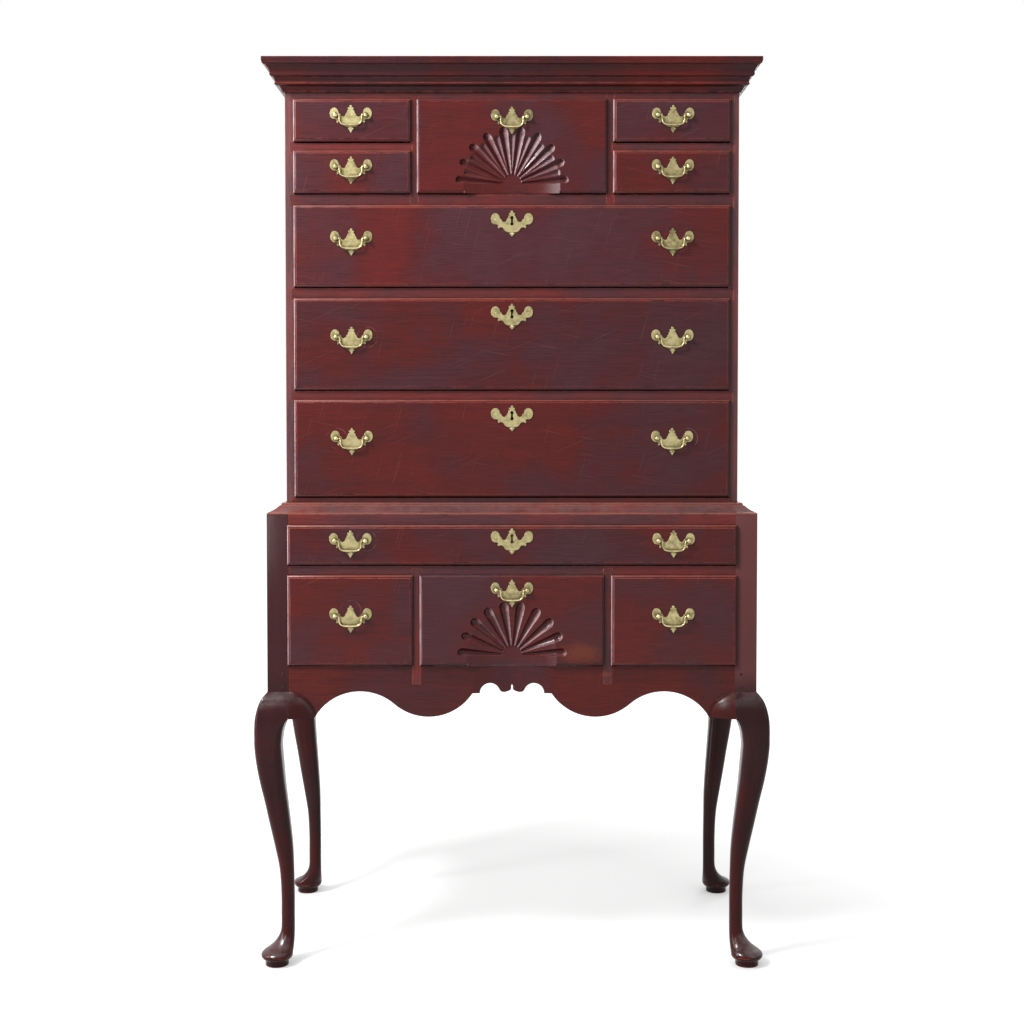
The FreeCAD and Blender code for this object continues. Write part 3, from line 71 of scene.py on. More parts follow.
class Nodes:
    """A node tree with short ways to add to it. Each input is a plain value or another node's output."""

    def __init__(self, tree):
        self.tree = tree

    def feed(self, socket, value):
        """Links an output, or sets a plain value. A colour may leave out its alpha."""
        if isinstance(value, bpy.types.NodeSocket):
            self.tree.links.new(value, socket)
        elif socket.type == "RGBA" and len(value) == 3:
            socket.default_value = (*value, 1)
        else:
            socket.default_value = value

    def put(self, kind, inputs=None, **settings):
        made = self.tree.nodes.new(kind)
        for name, value in settings.items():
            setattr(made, name, value)
        for key, value in (inputs or {}).items():
            self.feed(made.inputs[key], value)
        return made

    def use(self, group, **values):
        """Places a group with its own values, and gives its outputs."""
        inputs = {name.replace("_", " "): value for name, value in values.items()}
        return self.put("ShaderNodeGroup", inputs, node_tree=group).outputs

    def math(self, operation, first, second=0.0):
        return self.put("ShaderNodeMath", {0: first, 1: second}, operation=operation).outputs[0]

    def mul(self, first, second):
        return self.math("MULTIPLY", first, second)

    def add(self, first, second):
        return self.math("ADD", first, second)

    def sub(self, first, second):
        return self.math("SUBTRACT", first, second)

    def vector(self, operation, first, second=(0, 0, 0), scale=1.0):
        made = self.put("ShaderNodeVectorMath", {0: first, 1: second, 3: scale}, operation=operation)
        return made.outputs["Value" if operation in ("DOT_PRODUCT", "LENGTH") else "Vector"]

    def spread(self, value, low, high, to_low=0.0, to_high=1.0):
        """Stretches a value between two limits and holds it there."""
        return self.put("ShaderNodeMapRange", {0: value, 1: low, 2: high, 3: to_low, 4: to_high}).outputs[0]

    def mix(self, share, first, second, way="MIX"):
        """Mixes two colours."""
        mixed = self.put("ShaderNodeMix", {0: share, 6: first, 7: second}, data_type="RGBA", blend_type=way)
        return mixed.outputs[2]

    def coat(self, colour, mask, share, tone):
        """Lays a tone over a colour, through a mask."""
        return self.mix(self.mul(mask, share), colour, tone)

    def board_tone(self, colour, board, low, high):
        """Makes each board a little darker or paler."""
        own = self.spread(board, 0.0, 1.0, low, high)
        grey = self.put("ShaderNodeCombineColor", {0: own, 1: own, 2: own}).outputs[0]
        return self.mix(1.0, colour, grey, "MULTIPLY")

    def noise(self, vector, scale, detail=3.0, rough=0.5):
        sockets = {"Vector": vector, "Scale": scale, "Detail": detail, "Roughness": rough}
        return self.put("ShaderNodeTexNoise", sockets).outputs["Fac"]

    def spot(self):
        return self.put("ShaderNodeTexCoord").outputs["Object"]

    def split(self, vector):
        return self.put("ShaderNodeSeparateXYZ", {0: vector}).outputs

    def normal(self):
        return self.put("ShaderNodeNewGeometry").outputs["Normal"]

    def board(self):
        return self.put("ShaderNodeAttribute", attribute_name="board").outputs["Fac"]

    def open_air(self, distance, samples):
        """1 in the open, less in corners nearer than the distance."""
        return self.put("ShaderNodeAmbientOcclusion", {"Distance": distance}, samples=samples).outputs["AO"]

    def arris(self, width, low, high):
        """Where a corner this wide turns."""
        rounded = self.put("ShaderNodeBevel", {"Radius": width}, samples=4).outputs[0]
        return self.spread(self.sub(1.0, self.vector("DOT_PRODUCT", rounded, self.normal())), low, high)


def shader_group(inputs, outputs):
    """Turns a function into a shader group: it gets the nodes and the inputs, and returns what goes out."""
    def build(draw):
        tree = bpy.data.node_groups.new(draw.__name__, "ShaderNodeTree")
        for title, value in inputs.items():
            tree.interface.new_socket(title, in_out="INPUT", socket_type="NodeSocketFloat").default_value = value
        for title in outputs:
            kind = "NodeSocketVector" if title == "Normal" else "NodeSocketFloat"
            tree.interface.new_socket(title, in_out="OUTPUT", socket_type=kind)
        given = tree.nodes.new("NodeGroupInput").outputs
        leave = tree.nodes.new("NodeGroupOutput").inputs
        for title, made in zip(outputs, draw(Nodes(tree), given)):
            tree.links.new(made, leave[title])
        return tree
    return build


# ---------------------------------------------------------------- effects shared by the finishes


@shader_group({"Stretch": 24.0, "Streak Scale": 75.0, "Pore Scale": 520.0, "Cloud Scale": 4.5},
              ("Streaks", "Pores", "Clouds", "Board"))
def wood_figure(n, given):
    """Streaks and pores along each board's own grain, and soft clouds over the whole chest."""
    spot, board = n.spot(), n.board()
    grain = n.put("ShaderNodeAttribute", attribute_name="grain").outputs["Vector"]
    squeeze = n.sub(1.0, n.math("DIVIDE", 1.0, given["Stretch"]))
    back = n.vector("SCALE", grain, scale=n.mul(n.vector("DOT_PRODUCT", spot, grain), squeeze))
    shift = n.vector("SCALE", (7.1, 3.3, 5.7), scale=board)
    laid = n.vector("ADD", n.vector("SUBTRACT", spot, back), shift)
    warp = n.vector("SCALE", (0.02, 0.02, 0.02), scale=n.noise(laid, 9.0, 2.0))
    streaks = n.noise(n.vector("ADD", laid, warp), given["Streak Scale"], 5.0, 0.6)
    pores = n.noise(laid, given["Pore Scale"], 2.0, 0.6)
    clouds = n.noise(n.vector("ADD", spot, shift), given["Cloud Scale"], 4.0, 0.55)
    return streaks, pores, clouds, board


@shader_group({"Width": 0.0025, "Patch Scale": 30.0, "Bare Below": 0.45}, ("Wear", "Normal"))
def edge_wear(n, given):
    """Where hands and dusters have rubbed the arrises: a patchy mask, and normals that round them over."""
    edge = n.arris(given["Width"], 0.015, 0.14)
    patches = n.sub(n.noise(n.spot(), given["Patch Scale"], 4.0, 0.65), given["Bare Below"])
    convex = n.spread(n.open_air(0.006, 4), 0.45, 0.75)
    finer = n.put("ShaderNodeBevel", {"Radius": 0.0008}, samples=4)
    return n.mul(n.mul(edge, n.spread(patches, -0.06, 0.1)), convex), finer.outputs[0]


@shader_group({"From": 0.14, "Full": 0.62}, ("Painted Highlight", "Worn And Lit Top"))
def painted_lip_light(n, given):
    """Painted light on lips and carved edges: a painted highlight where they face the window side, and a redder top,
    partly rubbed wear and partly painted light.
    """
    facing = n.split(n.normal())
    front = n.spread(n.mul(facing["Y"], -1.0), 0.2, 0.45)
    uneven = n.spread(n.noise(n.spot(), 38.0, 4.0, 0.65), 0.3, 0.56, 0.45, 1.0)
    return [n.mul(n.mul(n.spread(value, given["From"], given["Full"]), front), uneven)
            for value in (n.mul(facing["X"], -1.0), facing["Z"])]


@shader_group({"Reach": 0.02}, ("Shade And Dirt",))
def corner_shade_and_dirt(n, given):
    """Painted shade, together with the wax and dust that have gathered in corners, gaps and hollows: darker where the
    surface is hemmed in.
    """
    uneven = n.mul(n.noise(n.spot(), 60.0, 3.0), 0.35)
    deep = n.sub(1.05, n.add(n.open_air(given["Reach"], 6), uneven))
    return [n.spread(deep, 0.0, 0.55)]


@shader_group({"Long": 11.0, "Thin": 700.0, "Rare": 0.8}, ("Scratch", "Dent"))
def hairlines(n, given):
    """Short fine scratches that run at a slant, and a few small dents."""
    spot = n.spot()
    size = n.put("ShaderNodeCombineXYZ", {0: given["Long"], 1: given["Long"], 2: given["Thin"]}).outputs[0]
    lines = []
    for turn, seed in ((0.42, 3.0), (-0.2, 8.0), (1.3, 15.0)):
        turned = n.put("ShaderNodeVectorRotate", {"Vector": spot, "Angle": turn}, rotation_type="Y_AXIS").outputs[0]
        laid = n.vector("ADD", n.vector("MULTIPLY", turned, size), (seed, seed, seed))
        lines.append(n.noise(laid, 1.0, 0.0))
    most = n.math("MAXIMUM", n.math("MAXIMUM", lines[0], lines[1]), lines[2])
    cells = n.put("ShaderNodeTexVoronoi", {"Vector": spot, "Scale": 19.0}).outputs
    chance = n.put("ShaderNodeSeparateColor", {0: cells["Color"]}).outputs[0]
    small = n.spread(cells["Distance"], 0.02, 0.034, 1.0, 0.0)
    return n.spread(n.sub(most, given["Rare"]), 0.0, 0.05), n.mul(n.math("GREATER_THAN", chance, 0.8), small)


@shader_group({"From": 0.2, "Full": 0.95}, ("Dust And Sheen",))
def dust_and_sheen_on_tops(n, given):
    """A grey film where the surface faces up: partly dust, partly a painted sheen that stands in for the pale
    reflection on upward faces.
    """
    uneven = n.spread(n.noise(n.spot(), 35.0, 4.0, 0.6), 0.25, 0.6)
    return [n.mul(n.spread(n.split(n.normal())["Z"], given["From"], given["Full"]), uneven)]


# where each ring has its middle, as (x, z) on a drawer face
RINGS = ((-0.2905, 1.2676), (-0.2905, 0.861), (0.3525, 1.0643), (-0.3525, 1.0643), (-0.322, 0.7208))


@shader_group({"Ring": 0.0205, "Line": 0.0004}, ("Mark",))
def swing_marks(n, given):
    """Fine rings that loose handles have scratched."""
    spot = n.spot()
    flat = n.vector("MULTIPLY", spot, (1, 0, 1))
    marks = 0.0
    for x, z in RINGS:
        away = n.vector("LENGTH", n.vector("SUBTRACT", flat, (x, 0, z)))
        off = n.math("ABSOLUTE", n.sub(away, given["Ring"]))
        marks = n.math("MAXIMUM", n.math("LESS_THAN", off, given["Line"]), marks)
    return [n.mul(marks, n.spread(n.noise(spot, 45.0, 2.0), 0.42, 0.6))]


# middle (x, z), half width and half height of each place
AMBER_PLACES = ((0.136, 0.636, 0.05, 0.026), (0.19, 0.592, 0.016, 0.007))


@shader_group({"Soft": 0.42}, ("Faded",))
def faded_places(n, given):
    """Where the stain has gone amber."""
    spot = n.spot()
    torn = n.mul(n.noise(spot, 55.0, 4.0, 0.65), 0.9)
    faded = 0.0
    for x, z, wide, high in AMBER_PLACES:
        scaled = n.vector("MULTIPLY", spot, (1 / wide, 0, 1 / high))
        away = n.vector("LENGTH", n.vector("SUBTRACT", scaled, (x / wide, 0, z / high)))
        faded = n.math("MAXIMUM", n.sub(n.sub(1.45, away), torn), faded)
    return [n.spread(faded, 0.0, 0.7, 0.0, given["Soft"])]


@shader_group({"Rim Height": 0.0208, "Rim Width": 0.0011}, ("Rim",))
def kicked_rim(n, given):
    """Bare red wood on the rims of the pads and shoes, near the floor."""
    spot = n.spot()
    shaky = n.add(n.split(spot)["Z"], n.mul(n.noise(spot, 70.0, 2.0), 0.0022))
    off = n.math("ABSOLUTE", n.sub(n.sub(shaky, 0.0011), given["Rim Height"]))
    rim = n.spread(n.math("DIVIDE", off, given["Rim Width"]), 0.5, 1.1, 1.0, 0.0)
    foot = n.spread(shaky, 0.0028, 0.0042, 1.0, 0.0)
    patches = n.spread(n.noise(spot, 60.0, 4.0, 0.7), 0.42, 0.64)
    return [n.mul(n.math("MAXIMUM", rim, foot), patches)]


@shader_group({"Mottle Scale": 90.0, "Rub Width": 0.0012}, ("Tarnish", "Mottle"))
def metal_age(n, given):
    """Tarnish that thickens away from the rubbed places, and the mottle of old cast metal."""
    board = n.board()
    moved = n.vector("ADD", n.spot(), n.vector("SCALE", (3.0, 5.0, 2.0), scale=board))
    mottle = n.noise(moved, given["Mottle Scale"], 5.0, 0.6)
    sheltered = n.spread(n.open_air(0.008, 4), 0.35, 0.95, 1.0, 0.0)
    dull = n.add(n.spread(mottle, 0.38, 0.62), n.mul(sheltered, 0.9))
    dull = n.add(dull, n.spread(board, 0.0, 1.0, -0.3, 0.3))
    return n.spread(n.sub(dull, n.arris(given["Rub Width"], 0.02, 0.2)), 0.0, 1.3), mottle


# ---------------------------------------------------------------- finishes

# tones that lie over every stained finish; the black in corners is painted shade and dirt together
BLOOM, PORE_BLACK, SHADE_AND_DIRT_BLACK = (0.062, 0.022, 0.031), (0.014, 0.003, 0.003), (0.006, 0.002, 0.002)
SCRATCH_PALE, DENT_DARK, RING_PALE = (0.26, 0.12, 0.1), (0.01, 0.004, 0.004), (0.3, 0.16, 0.16)
# the grey for upward faces is dust and painted sheen together
AMBER, SUNNED, DUST_AND_SHEEN_GREY = (0.21, 0.045, 0.014), (0.14, 0.045, 0.045), (0.15, 0.125, 0.13)
# lip colours: a redder top, partly wear and partly painted light, and a pale painted highlight
LIP_WORN_LIT_RED, LIP_HIGHLIGHT_PAINT = (0.36, 0.085, 0.05), (0.6, 0.43, 0.45)


def new_material(name):
    """A material, its nodes and the inputs of its shader."""
    material = bpy.data.materials.new(name)
    material.use_nodes = True
    return material, Nodes(material.node_tree), material.node_tree.nodes["Principled BSDF"].inputs


def dress(n, shader, colour, rough, **bump):
    """Joins the colour, the roughness and the bump to the shader."""
    n.feed(shader["Base Color"], colour)
    n.feed(shader["Roughness"], rough)
    n.feed(shader["Normal"], n.put("ShaderNodeBump", bump).outputs[0])


def stained_wood(name, dark, middle, red, worn, wear_width, bare_below, haze, scratched, dust_and_sheen=0.25, gloss=0.22,
                 feet=False, lip_light_paint=0.0, worn_lit_top=1.0, lip_from=0.14, smooth=0.16):
    """Red-brown stain under old varnish: streaks, clouds, a grey bloom, painted shade and dirt in corners, and rubbed
    arrises.
    """
    material, n, shader = new_material(name)
    shader["Specular IOR Level"].default_value = gloss
    figure, marks = n.use(wood_figure), n.use(hairlines)
    streaks, pores, clouds = figure["Streaks"], figure["Pores"], figure["Clouds"]
    edge = n.use(edge_wear, Width=wear_width, Bare_Below=bare_below)
    colour = n.mix(n.spread(streaks, 0.12, 0.8), dark, middle)
    grainy = n.spread(streaks, 0.2, 0.6, 0.45, 1.0)
    colour = n.coat(colour, n.spread(clouds, 0.42, 0.62), grainy, red)
    colour = n.coat(colour, n.spread(clouds, 0.56, 0.36), haze, BLOOM)
    colour = n.coat(colour, n.spread(pores, 0.56, 0.36), 0.3, PORE_BLACK)
    colour = n.board_tone(colour, figure["Board"], 0.9, 1.1)
    if scratched:
        colour = n.coat(colour, marks["Scratch"], scratched, SCRATCH_PALE)
        colour = n.coat(colour, marks["Dent"], 0.6, DENT_DARK)
        colour = n.coat(colour, n.use(swing_marks)["Mark"], 0.5, RING_PALE)
        colour = n.mix(n.use(faded_places)["Faded"], colour, AMBER)
    if feet:
        place = n.split(n.spot())
        rightwards = n.spread(place["X"], -0.49, 0.45, 0.12, 0.85)
        colour = n.coat(colour, n.spread(place["Z"], 0.545, 0.6), rightwards, SUNNED)
    # dust and a painted sheen on upward faces, such as the knee and pad tops
    up_dust_sheen = n.use(dust_and_sheen_on_tops)["Dust And Sheen"]
    colour = n.coat(colour, up_dust_sheen, dust_and_sheen, DUST_AND_SHEEN_GREY)
    # painted light: a pale painted highlight on left-facing lips and flutes, and a redder top that is partly wear and
    # partly painted light
    if lip_light_paint:
        lip_light = n.use(painted_lip_light, From=lip_from, Full=lip_from + 0.5)
        colour = n.coat(colour, lip_light["Worn And Lit Top"], lip_light_paint * worn_lit_top, LIP_WORN_LIT_RED)
        colour = n.coat(colour, lip_light["Painted Highlight"], lip_light_paint, LIP_HIGHLIGHT_PAINT)
    rubbed = edge["Wear"]
    if feet:
        n.feed(shader["Specular IOR Level"], n.spread(up_dust_sheen, 0.1, 0.6, gloss, 0.75))
        rubbed = n.math("MAXIMUM", n.mul(rubbed, 0.16), n.use(kicked_rim)["Rim"])
    colour = n.mix(rubbed, colour, worn)
    # painted shade and dirt: darker where the surface is hemmed in
    colour = n.coat(colour, n.use(corner_shade_and_dirt, Reach=0.007)["Shade And Dirt"], 0.85, SHADE_AND_DIRT_BLACK)
    rough = n.spread(n.add(clouds, n.mul(pores, 0.5)), 0.4, 1.0, smooth, smooth + 0.1)
    height = n.sub(n.add(pores, n.mul(streaks, 0.7)), n.mul(marks["Dent"], 2.0))
    dress(n, shader, colour, n.add(rough, n.mul(edge["Wear"], 0.1)),
          Strength=0.12, Distance=0.0005, Height=height, Normal=edge["Normal"])
    return material


def bare_wood(name, pale, dark, rough_at, streak_scale):
    """Unfinished softwood, browned by age, with saw marks, and grime and painted shade where its edges meet other
    parts.
    """
    material, n, shader = new_material(name)
    shader["Specular IOR Level"].default_value = 0.2
    figure = n.use(wood_figure, Streak_Scale=streak_scale, Stretch=22.0)
    streaks, pores = figure["Streaks"], figure["Pores"]
    edge = n.use(edge_wear, Width=0.0015)
    colour = n.mix(n.spread(streaks, 0.3, 0.66), dark, pale)
    colour = n.board_tone(colour, figure["Board"], 0.78, 1.14)
    for mask, share, tone in (
            (n.spread(figure["Clouds"], 0.5, 0.75), 0.5, (0.09, 0.05, 0.028)),
            (n.spread(pores, 0.55, 0.4), 0.35, (0.07, 0.04, 0.02)),
            (edge["Wear"], 0.4, (0.46, 0.33, 0.2)),
            # painted shade and grime in the corners
            (n.use(corner_shade_and_dirt, Reach=0.03)["Shade And Dirt"], 0.75, (0.03, 0.017, 0.01))):
        colour = n.coat(colour, mask, share, tone)
    dress(n, shader, colour, n.spread(pores, 0.3, 0.7, rough_at, rough_at + 0.15),
          Strength=0.4, Distance=0.0006, Height=n.add(pores, n.mul(streaks, 2.5)), Normal=edge["Normal"])
    return material


def aged_metal(name, bright, dull, smooth, rough):
    """Cast and filed metal: bright where it is rubbed, dull and mottled elsewhere, tarnished where it is sheltered and
    darkened there by painted shade and grime.
    """
    material, n, shader = new_material(name)
    age = n.use(metal_age)
    colour = n.mix(age["Tarnish"], bright, dull)
    colour = n.mix(n.spread(age["Mottle"], 0.58, 0.74, 0.0, 0.45), colour, (0.12, 0.085, 0.032))
    # painted shade and grime where the metal is sheltered, such as under the bail
    colour = n.coat(colour, n.use(corner_shade_and_dirt, Reach=0.013)["Shade And Dirt"], 0.8, (0.035, 0.024, 0.01))
    n.feed(shader["Metallic"], n.spread(age["Tarnish"], 0.0, 1.0, 1.0, 0.7))
    dress(n, shader, colour, n.spread(age["Tarnish"], 0.0, 1.0, smooth, rough),
          Strength=0.25, Distance=0.0003, Height=age["Mottle"])
    return material


CASE_FINISH = stained_wood(
    "varnished_case", (0.088, 0.02, 0.021), (0.115, 0.026, 0.027), (0.148, 0.02, 0.018),
    (0.42, 0.08, 0.04), 0.0026, 0.44, 0.6, 0.06)
STILE_FINISH = stained_wood(
    "faded_stiles", (0.095, 0.038, 0.041), (0.135, 0.058, 0.06), (0.15, 0.044, 0.043),
    (0.42, 0.1, 0.06), 0.0026, 0.42, 0.36, 0.1)
WAIST_FINISH = stained_wood(
    "rubbed_moulding", (0.1, 0.027, 0.023), (0.15, 0.038, 0.031), (0.2, 0.036, 0.025),
    (0.62, 0.22, 0.15), 0.0024, 0.3, 0.45, 0.06, 0.35)
CORNICE_FINISH = stained_wood(
    "dark_cornice", (0.027, 0.0045, 0.0045), (0.052, 0.007, 0.007), (0.095, 0.01, 0.008),
    (0.42, 0.08, 0.045), 0.0022, 0.46, 0.35, 0.06, gloss=0.16, lip_light_paint=0.6, worn_lit_top=0.45)
APRON_FINISH = stained_wood(
    "dark_apron", (0.042, 0.006, 0.006), (0.064, 0.009, 0.008), (0.09, 0.011, 0.009),
    (0.3, 0.05, 0.026), 0.002, 0.46, 0.45, 0.06, gloss=0.16)
LEG_FINISH = stained_wood(
    "varnished_legs", (0.014, 0.003, 0.0035), (0.027, 0.0045, 0.0045), (0.052, 0.006, 0.005),
    (0.36, 0.06, 0.022), 0.002, 0.56, 0.2, 0.04, 0.12, gloss=0.14, feet=True)
DRAWER_FINISH = stained_wood(
    "varnished_drawer", (0.052, 0.0065, 0.0075), (0.075, 0.0085, 0.0095), (0.105, 0.0095, 0.0085),
    (0.4, 0.075, 0.05), 0.002, 0.4, 0.7, 0.16, lip_light_paint=0.55)
FAN_FINISH = stained_wood(
    "varnished_fans", (0.052, 0.0065, 0.0075), (0.073, 0.0085, 0.0095), (0.1, 0.0095, 0.0085),
    (0.3, 0.045, 0.035), 0.0014, 0.52, 0.7, 0.1, lip_light_paint=0.5, worn_lit_top=0.1, lip_from=0.22, smooth=0.13)
PEG_FINISH = stained_wood(
    "dark_pegs", (0.015, 0.004, 0.004), (0.03, 0.006, 0.006), (0.05, 0.009, 0.008),
    (0.06, 0.012, 0.01), 0.0008, 0.9, 0.3, 0.0)
BARE_FINISH = bare_wood("bare_softwood", (0.38, 0.25, 0.135), (0.21, 0.125, 0.062), 0.7, 55.0)
BACK_FINISH = bare_wood("dusty_backboards", (0.27, 0.18, 0.105), (0.14, 0.088, 0.05), 0.78, 70.0)
BRASS_FINISH = aged_metal("rubbed_brass", (0.64, 0.54, 0.28), (0.25, 0.2, 0.085), 0.26, 0.4)
PLATE_FINISH = aged_metal("tarnished_brass", (0.5, 0.43, 0.22), (0.19, 0.155, 0.065), 0.3, 0.46)
DULL_FINISH = aged_metal("dark_brass", (0.46, 0.39, 0.2), (0.14, 0.115, 0.05), 0.32, 0.5)
STEEL_FINISH = aged_metal("lock_steel", (0.35, 0.33, 0.3), (0.1, 0.085, 0.07), 0.35, 0.6)


# ---------------------------------------------------------------- mesh tools


def node_solids(node):
    """The closed solids of a node, each as (points, faces), with its loose triangles joined."""
    mesh = frame["nodes"][node].data
    solids, points, faces, index, open_edges = [], [], [], {}, set()
    for polygon in mesh.polygons:
        corners = []
        for vertex in polygon.vertices:
            spot = mesh.vertices[vertex].co
            key = tuple(math.floor(value * 1e5 + 0.37) for value in spot)
            if key not in index:
                index[key] = len(points)
                points.append(spot.copy())
            corners.append(index[key])
        if len(set(corners)) == 3:
            faces.append(corners)
            for step in range(3):
                open_edges ^= {frozenset((corners[step], corners[step - 1]))}
        if faces and not open_edges:
            solids.append((points, faces))
            points, faces, index = [], [], {}
    if faces:
        solids.append((points, faces))
    return solids


def span(points):
    """Lowest and highest corner of some points."""
    return tuple(Vector([end(p[axis] for p in points) for axis in range(3)]) for end in (min, max))


def ease(work, width, steeper_than):
    """Cuts a small flat on the outer arrises."""
    work.normal_update()
    sharp = [e for e in work.edges if len(e.link_faces) == 2 and e.is_convex
             and e.calc_face_angle() > math.radians(steeper_than)]
    bmesh.ops.bevel(work, geom=sharp, offset=width, offset_type="OFFSET", segments=1, profile=0.5,
                    affect="EDGES", clamp_overlap=True)
    work.normal_update()


def shell(points, faces, chamfer):
    """A bmesh of one solid, its flat sides joined and its arrises eased."""
    work = bmesh.new()
    made = [work.verts.new(point) for point in points]
    for face in faces:
        work.faces.new([made[i] for i in face])
    work.normal_update()
    bmesh.ops.dissolve_limit(work, angle_limit=math.radians(0.4), verts=work.verts, edges=work.edges)
    ease(work, chamfer, 48)
    return work


def show(name, data):
    """An object in the scene."""
    made = bpy.data.objects.new(name, data)
    bpy.context.scene.collection.objects.link(made)
    return made


class Gathered:
    """Collects solids for one piece, with each one's grain direction, number and material."""

    def __init__(self):
        self.points, self.faces, self.finish = [], [], []
        self.grain, self.board = [], []
        self.count = 0

    def add(self, work, finish=0, grain=None):
        """Takes in a bmesh. finish is a material index, or a function from a face to one."""
        work.verts.index_update()
        spots = [v.co.copy() for v in work.verts]
        low, high = span(spots)
        if grain is None:
            reach = high - low
            grain = Vector((0, 0, 0))
            grain[max(range(3), key=lambda axis: reach[axis])] = 1.0
        self.count += 1
        middle = (low + high) / 2
        number = (math.sin(middle.x * 37.1 + middle.y * 91.7 + middle.z * 53.3 + self.count * 2.3) * 43758.5) % 1.0
        start = len(self.points)
        self.points += spots
        self.grain += [grain] * len(spots)
        self.board += [number] * len(spots)
        for face in work.faces:
            self.faces.append([start + v.index for v in face.verts])
            self.finish.append(finish(face) if callable(finish) else finish)
        work.free()

    def replace(self, node, ending, slot, materials, smooth=32):
        """Makes one piece of them. It stands for the node and moves with its body."""
        name = f"{node}_{ending}"
        mesh = bpy.data.meshes.new(name)
        mesh.from_pydata(self.points, [], self.faces)
        for material in materials:
            mesh.materials.append(material)
        mesh.polygons.foreach_set("material_index", self.finish)
        grain = mesh.attributes.new("grain", "FLOAT_VECTOR", "POINT")
        grain.data.foreach_set("vector", [value for vector in self.grain for value in vector])
        board = mesh.attributes.new("board", "FLOAT", "POINT")
        board.data.foreach_set("value", self.board)
        mesh.polygons.foreach_set("use_smooth", [True] * len(mesh.polygons))
        mesh.update()
        mesh.set_sharp_from_angle(angle=math.radians(smooth))
        piece = show(name, mesh)
        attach(piece, frame["nodes"][node]["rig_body"])
        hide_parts(node)


def round_ring(work, middle, side, up, radius, sides):
    turns = (2 * math.pi * i / sides for i in range(sides))
    return [work.verts.new(middle + (side * math.cos(turn) + up * math.sin(turn)) * radius) for turn in turns]


def bridge(work, lower, upper):
    """Skins two rings, the second of which may be a point."""
    for i in range(len(lower)):
        j = (i + 1) % len(lower)
        above = (upper[0],) if len(upper) == 1 else (upper[j], upper[i])
        work.faces.new((lower[i], lower[j], *above))


def close_loops(work, loops):
    """Skins a row of rings, and caps the two ends."""
    for lower, upper in zip(loops, loops[1:]):
        bridge(work, lower, upper)
    for end in (loops[0], loops[-1]):
        if len(end) > 2:
            work.faces.new(end)
    bmesh.ops.recalc_face_normals(work, faces=work.faces)


def arc_points(start, middle, end, count):
    """Points after start on the arc through three points in a plane."""
    (ax, ay), (bx, by), (cx, cy) = start, middle, end
    d = 2 * (ax * (by - cy) + bx * (cy - ay) + cx * (ay - by))
    if abs(d) < 1e-9:
        return [end]
    ux = ((ax**2 + ay**2) * (by - cy) + (bx**2 + by**2) * (cy - ay) + (cx**2 + cy**2) * (ay - by)) / d
    uy = ((ax**2 + ay**2) * (cx - bx) + (bx**2 + by**2) * (ax - cx) + (cx**2 + cy**2) * (bx - ax)) / d
    first, mid, last = (math.atan2(y - uy, x - ux) for x, y in (start, middle, end))
    radius = math.hypot(ax - ux, ay - uy)
    turn = (last - first) % (2 * math.pi)
    if (mid - first) % (2 * math.pi) > turn:
        turn -= 2 * math.pi
    return [(ux + radius * math.cos(first + turn * i / count), uy + radius * math.sin(first + turn * i / count))
            for i in range(1, count)] + [end]


def traced(path, count=6):
    """A plane path of points and arcs, each arc given as (middle, end)."""
    points = [path[0]]
    for item in path[1:]:
        if isinstance(item[0], tuple):
            points += arc_points(points[-1], item[0], item[1], count)
        else:
            points.append(item)
    return points


def inset(points, distance):
    """A closed anticlockwise outline moved inwards."""
    moved = []
    for i, (x, y) in enumerate(points):
        (px, py), (nx, ny) = points[i - 1], points[(i + 1) % len(points)]
        before = Vector((x - px, y - py)).normalized()
        after = Vector((nx - x, ny - y)).normalized()
        side = Vector((-before.y - after.y, before.x + after.x))
        if side.length < 1e-6:
            side = Vector((-before.y, before.x))
        side.normalize()
        reach = distance / max(0.45, side.dot(Vector((-before.y, before.x))))
        moved.append((x + side.x * reach, y + side.y * reach))
    return moved


# ---------------------------------------------------------------- wooden parts kept to their sizes


def build_boards(node, slot, finish, chamfer=0.0006, inside=None, reshape=None):
    """A node's boards with eased arrises. inside tells which faces were never stained."""
    gathered = Gathered()
    for points, faces in node_solids(node):
        if reshape:
            points = [reshape(point) for point in points]
        gathered.add(shell(points, faces, chamfer), inside or 0)
    gathered.replace(node, "eased", slot, [finish, BARE_FINISH])


def facing_in(face):
    """The inner side of a side board."""
    return 1 if face.normal.x * face.calc_center_median().x < -1e-4 and abs(face.normal.x) > 0.9 else 0


def facing_back(face):
    """The inner side of a front or a rail."""
    return 1 if face.normal.y > 0.9 else 0


def close_cusp(point):
    """Draws the apron's two middle lobes together, with a narrow slit between them."""
    x, z = abs(point.x) / MM, point.z / MM
    if not 554 < z < 563 or not 5 < x < 25.8:
        return point
    wide = 1.5 + (x - 6.6) * 15.9 / 9.9 if x < 16.5 else 17.4 + (x - 16.5) * 8.4 / 9.3
    return Vector((math.copysign(wide * MM, point.x), point.y, point.z))


build_boards("lower_sides", "case_wood", CASE_FINISH, inside=facing_in)
build_boards("upper_sides", "case_wood", STILE_FINISH, inside=facing_in)
build_boards("apron", "case_wood", APRON_FINISH, inside=facing_back, reshape=close_cusp)
for rails in ("lower_dividers", "upper_dividers"):
    build_boards(rails, "case_wood", CASE_FINISH, inside=facing_back)
build_boards("upper_top_and_bottom", "case_wood", BARE_FINISH)
for runners in ("lower_runners", "upper_runners"):
    build_boards(runners, "inner_wood", BARE_FINISH)
build_boards("lower_back", "inner_wood", BACK_FINISH, 0.0015)
build_boards("upper_back", "inner_wood", BACK_FINISH, 0.0022)


# ---------------------------------------------------------------- mouldings, in millimetres

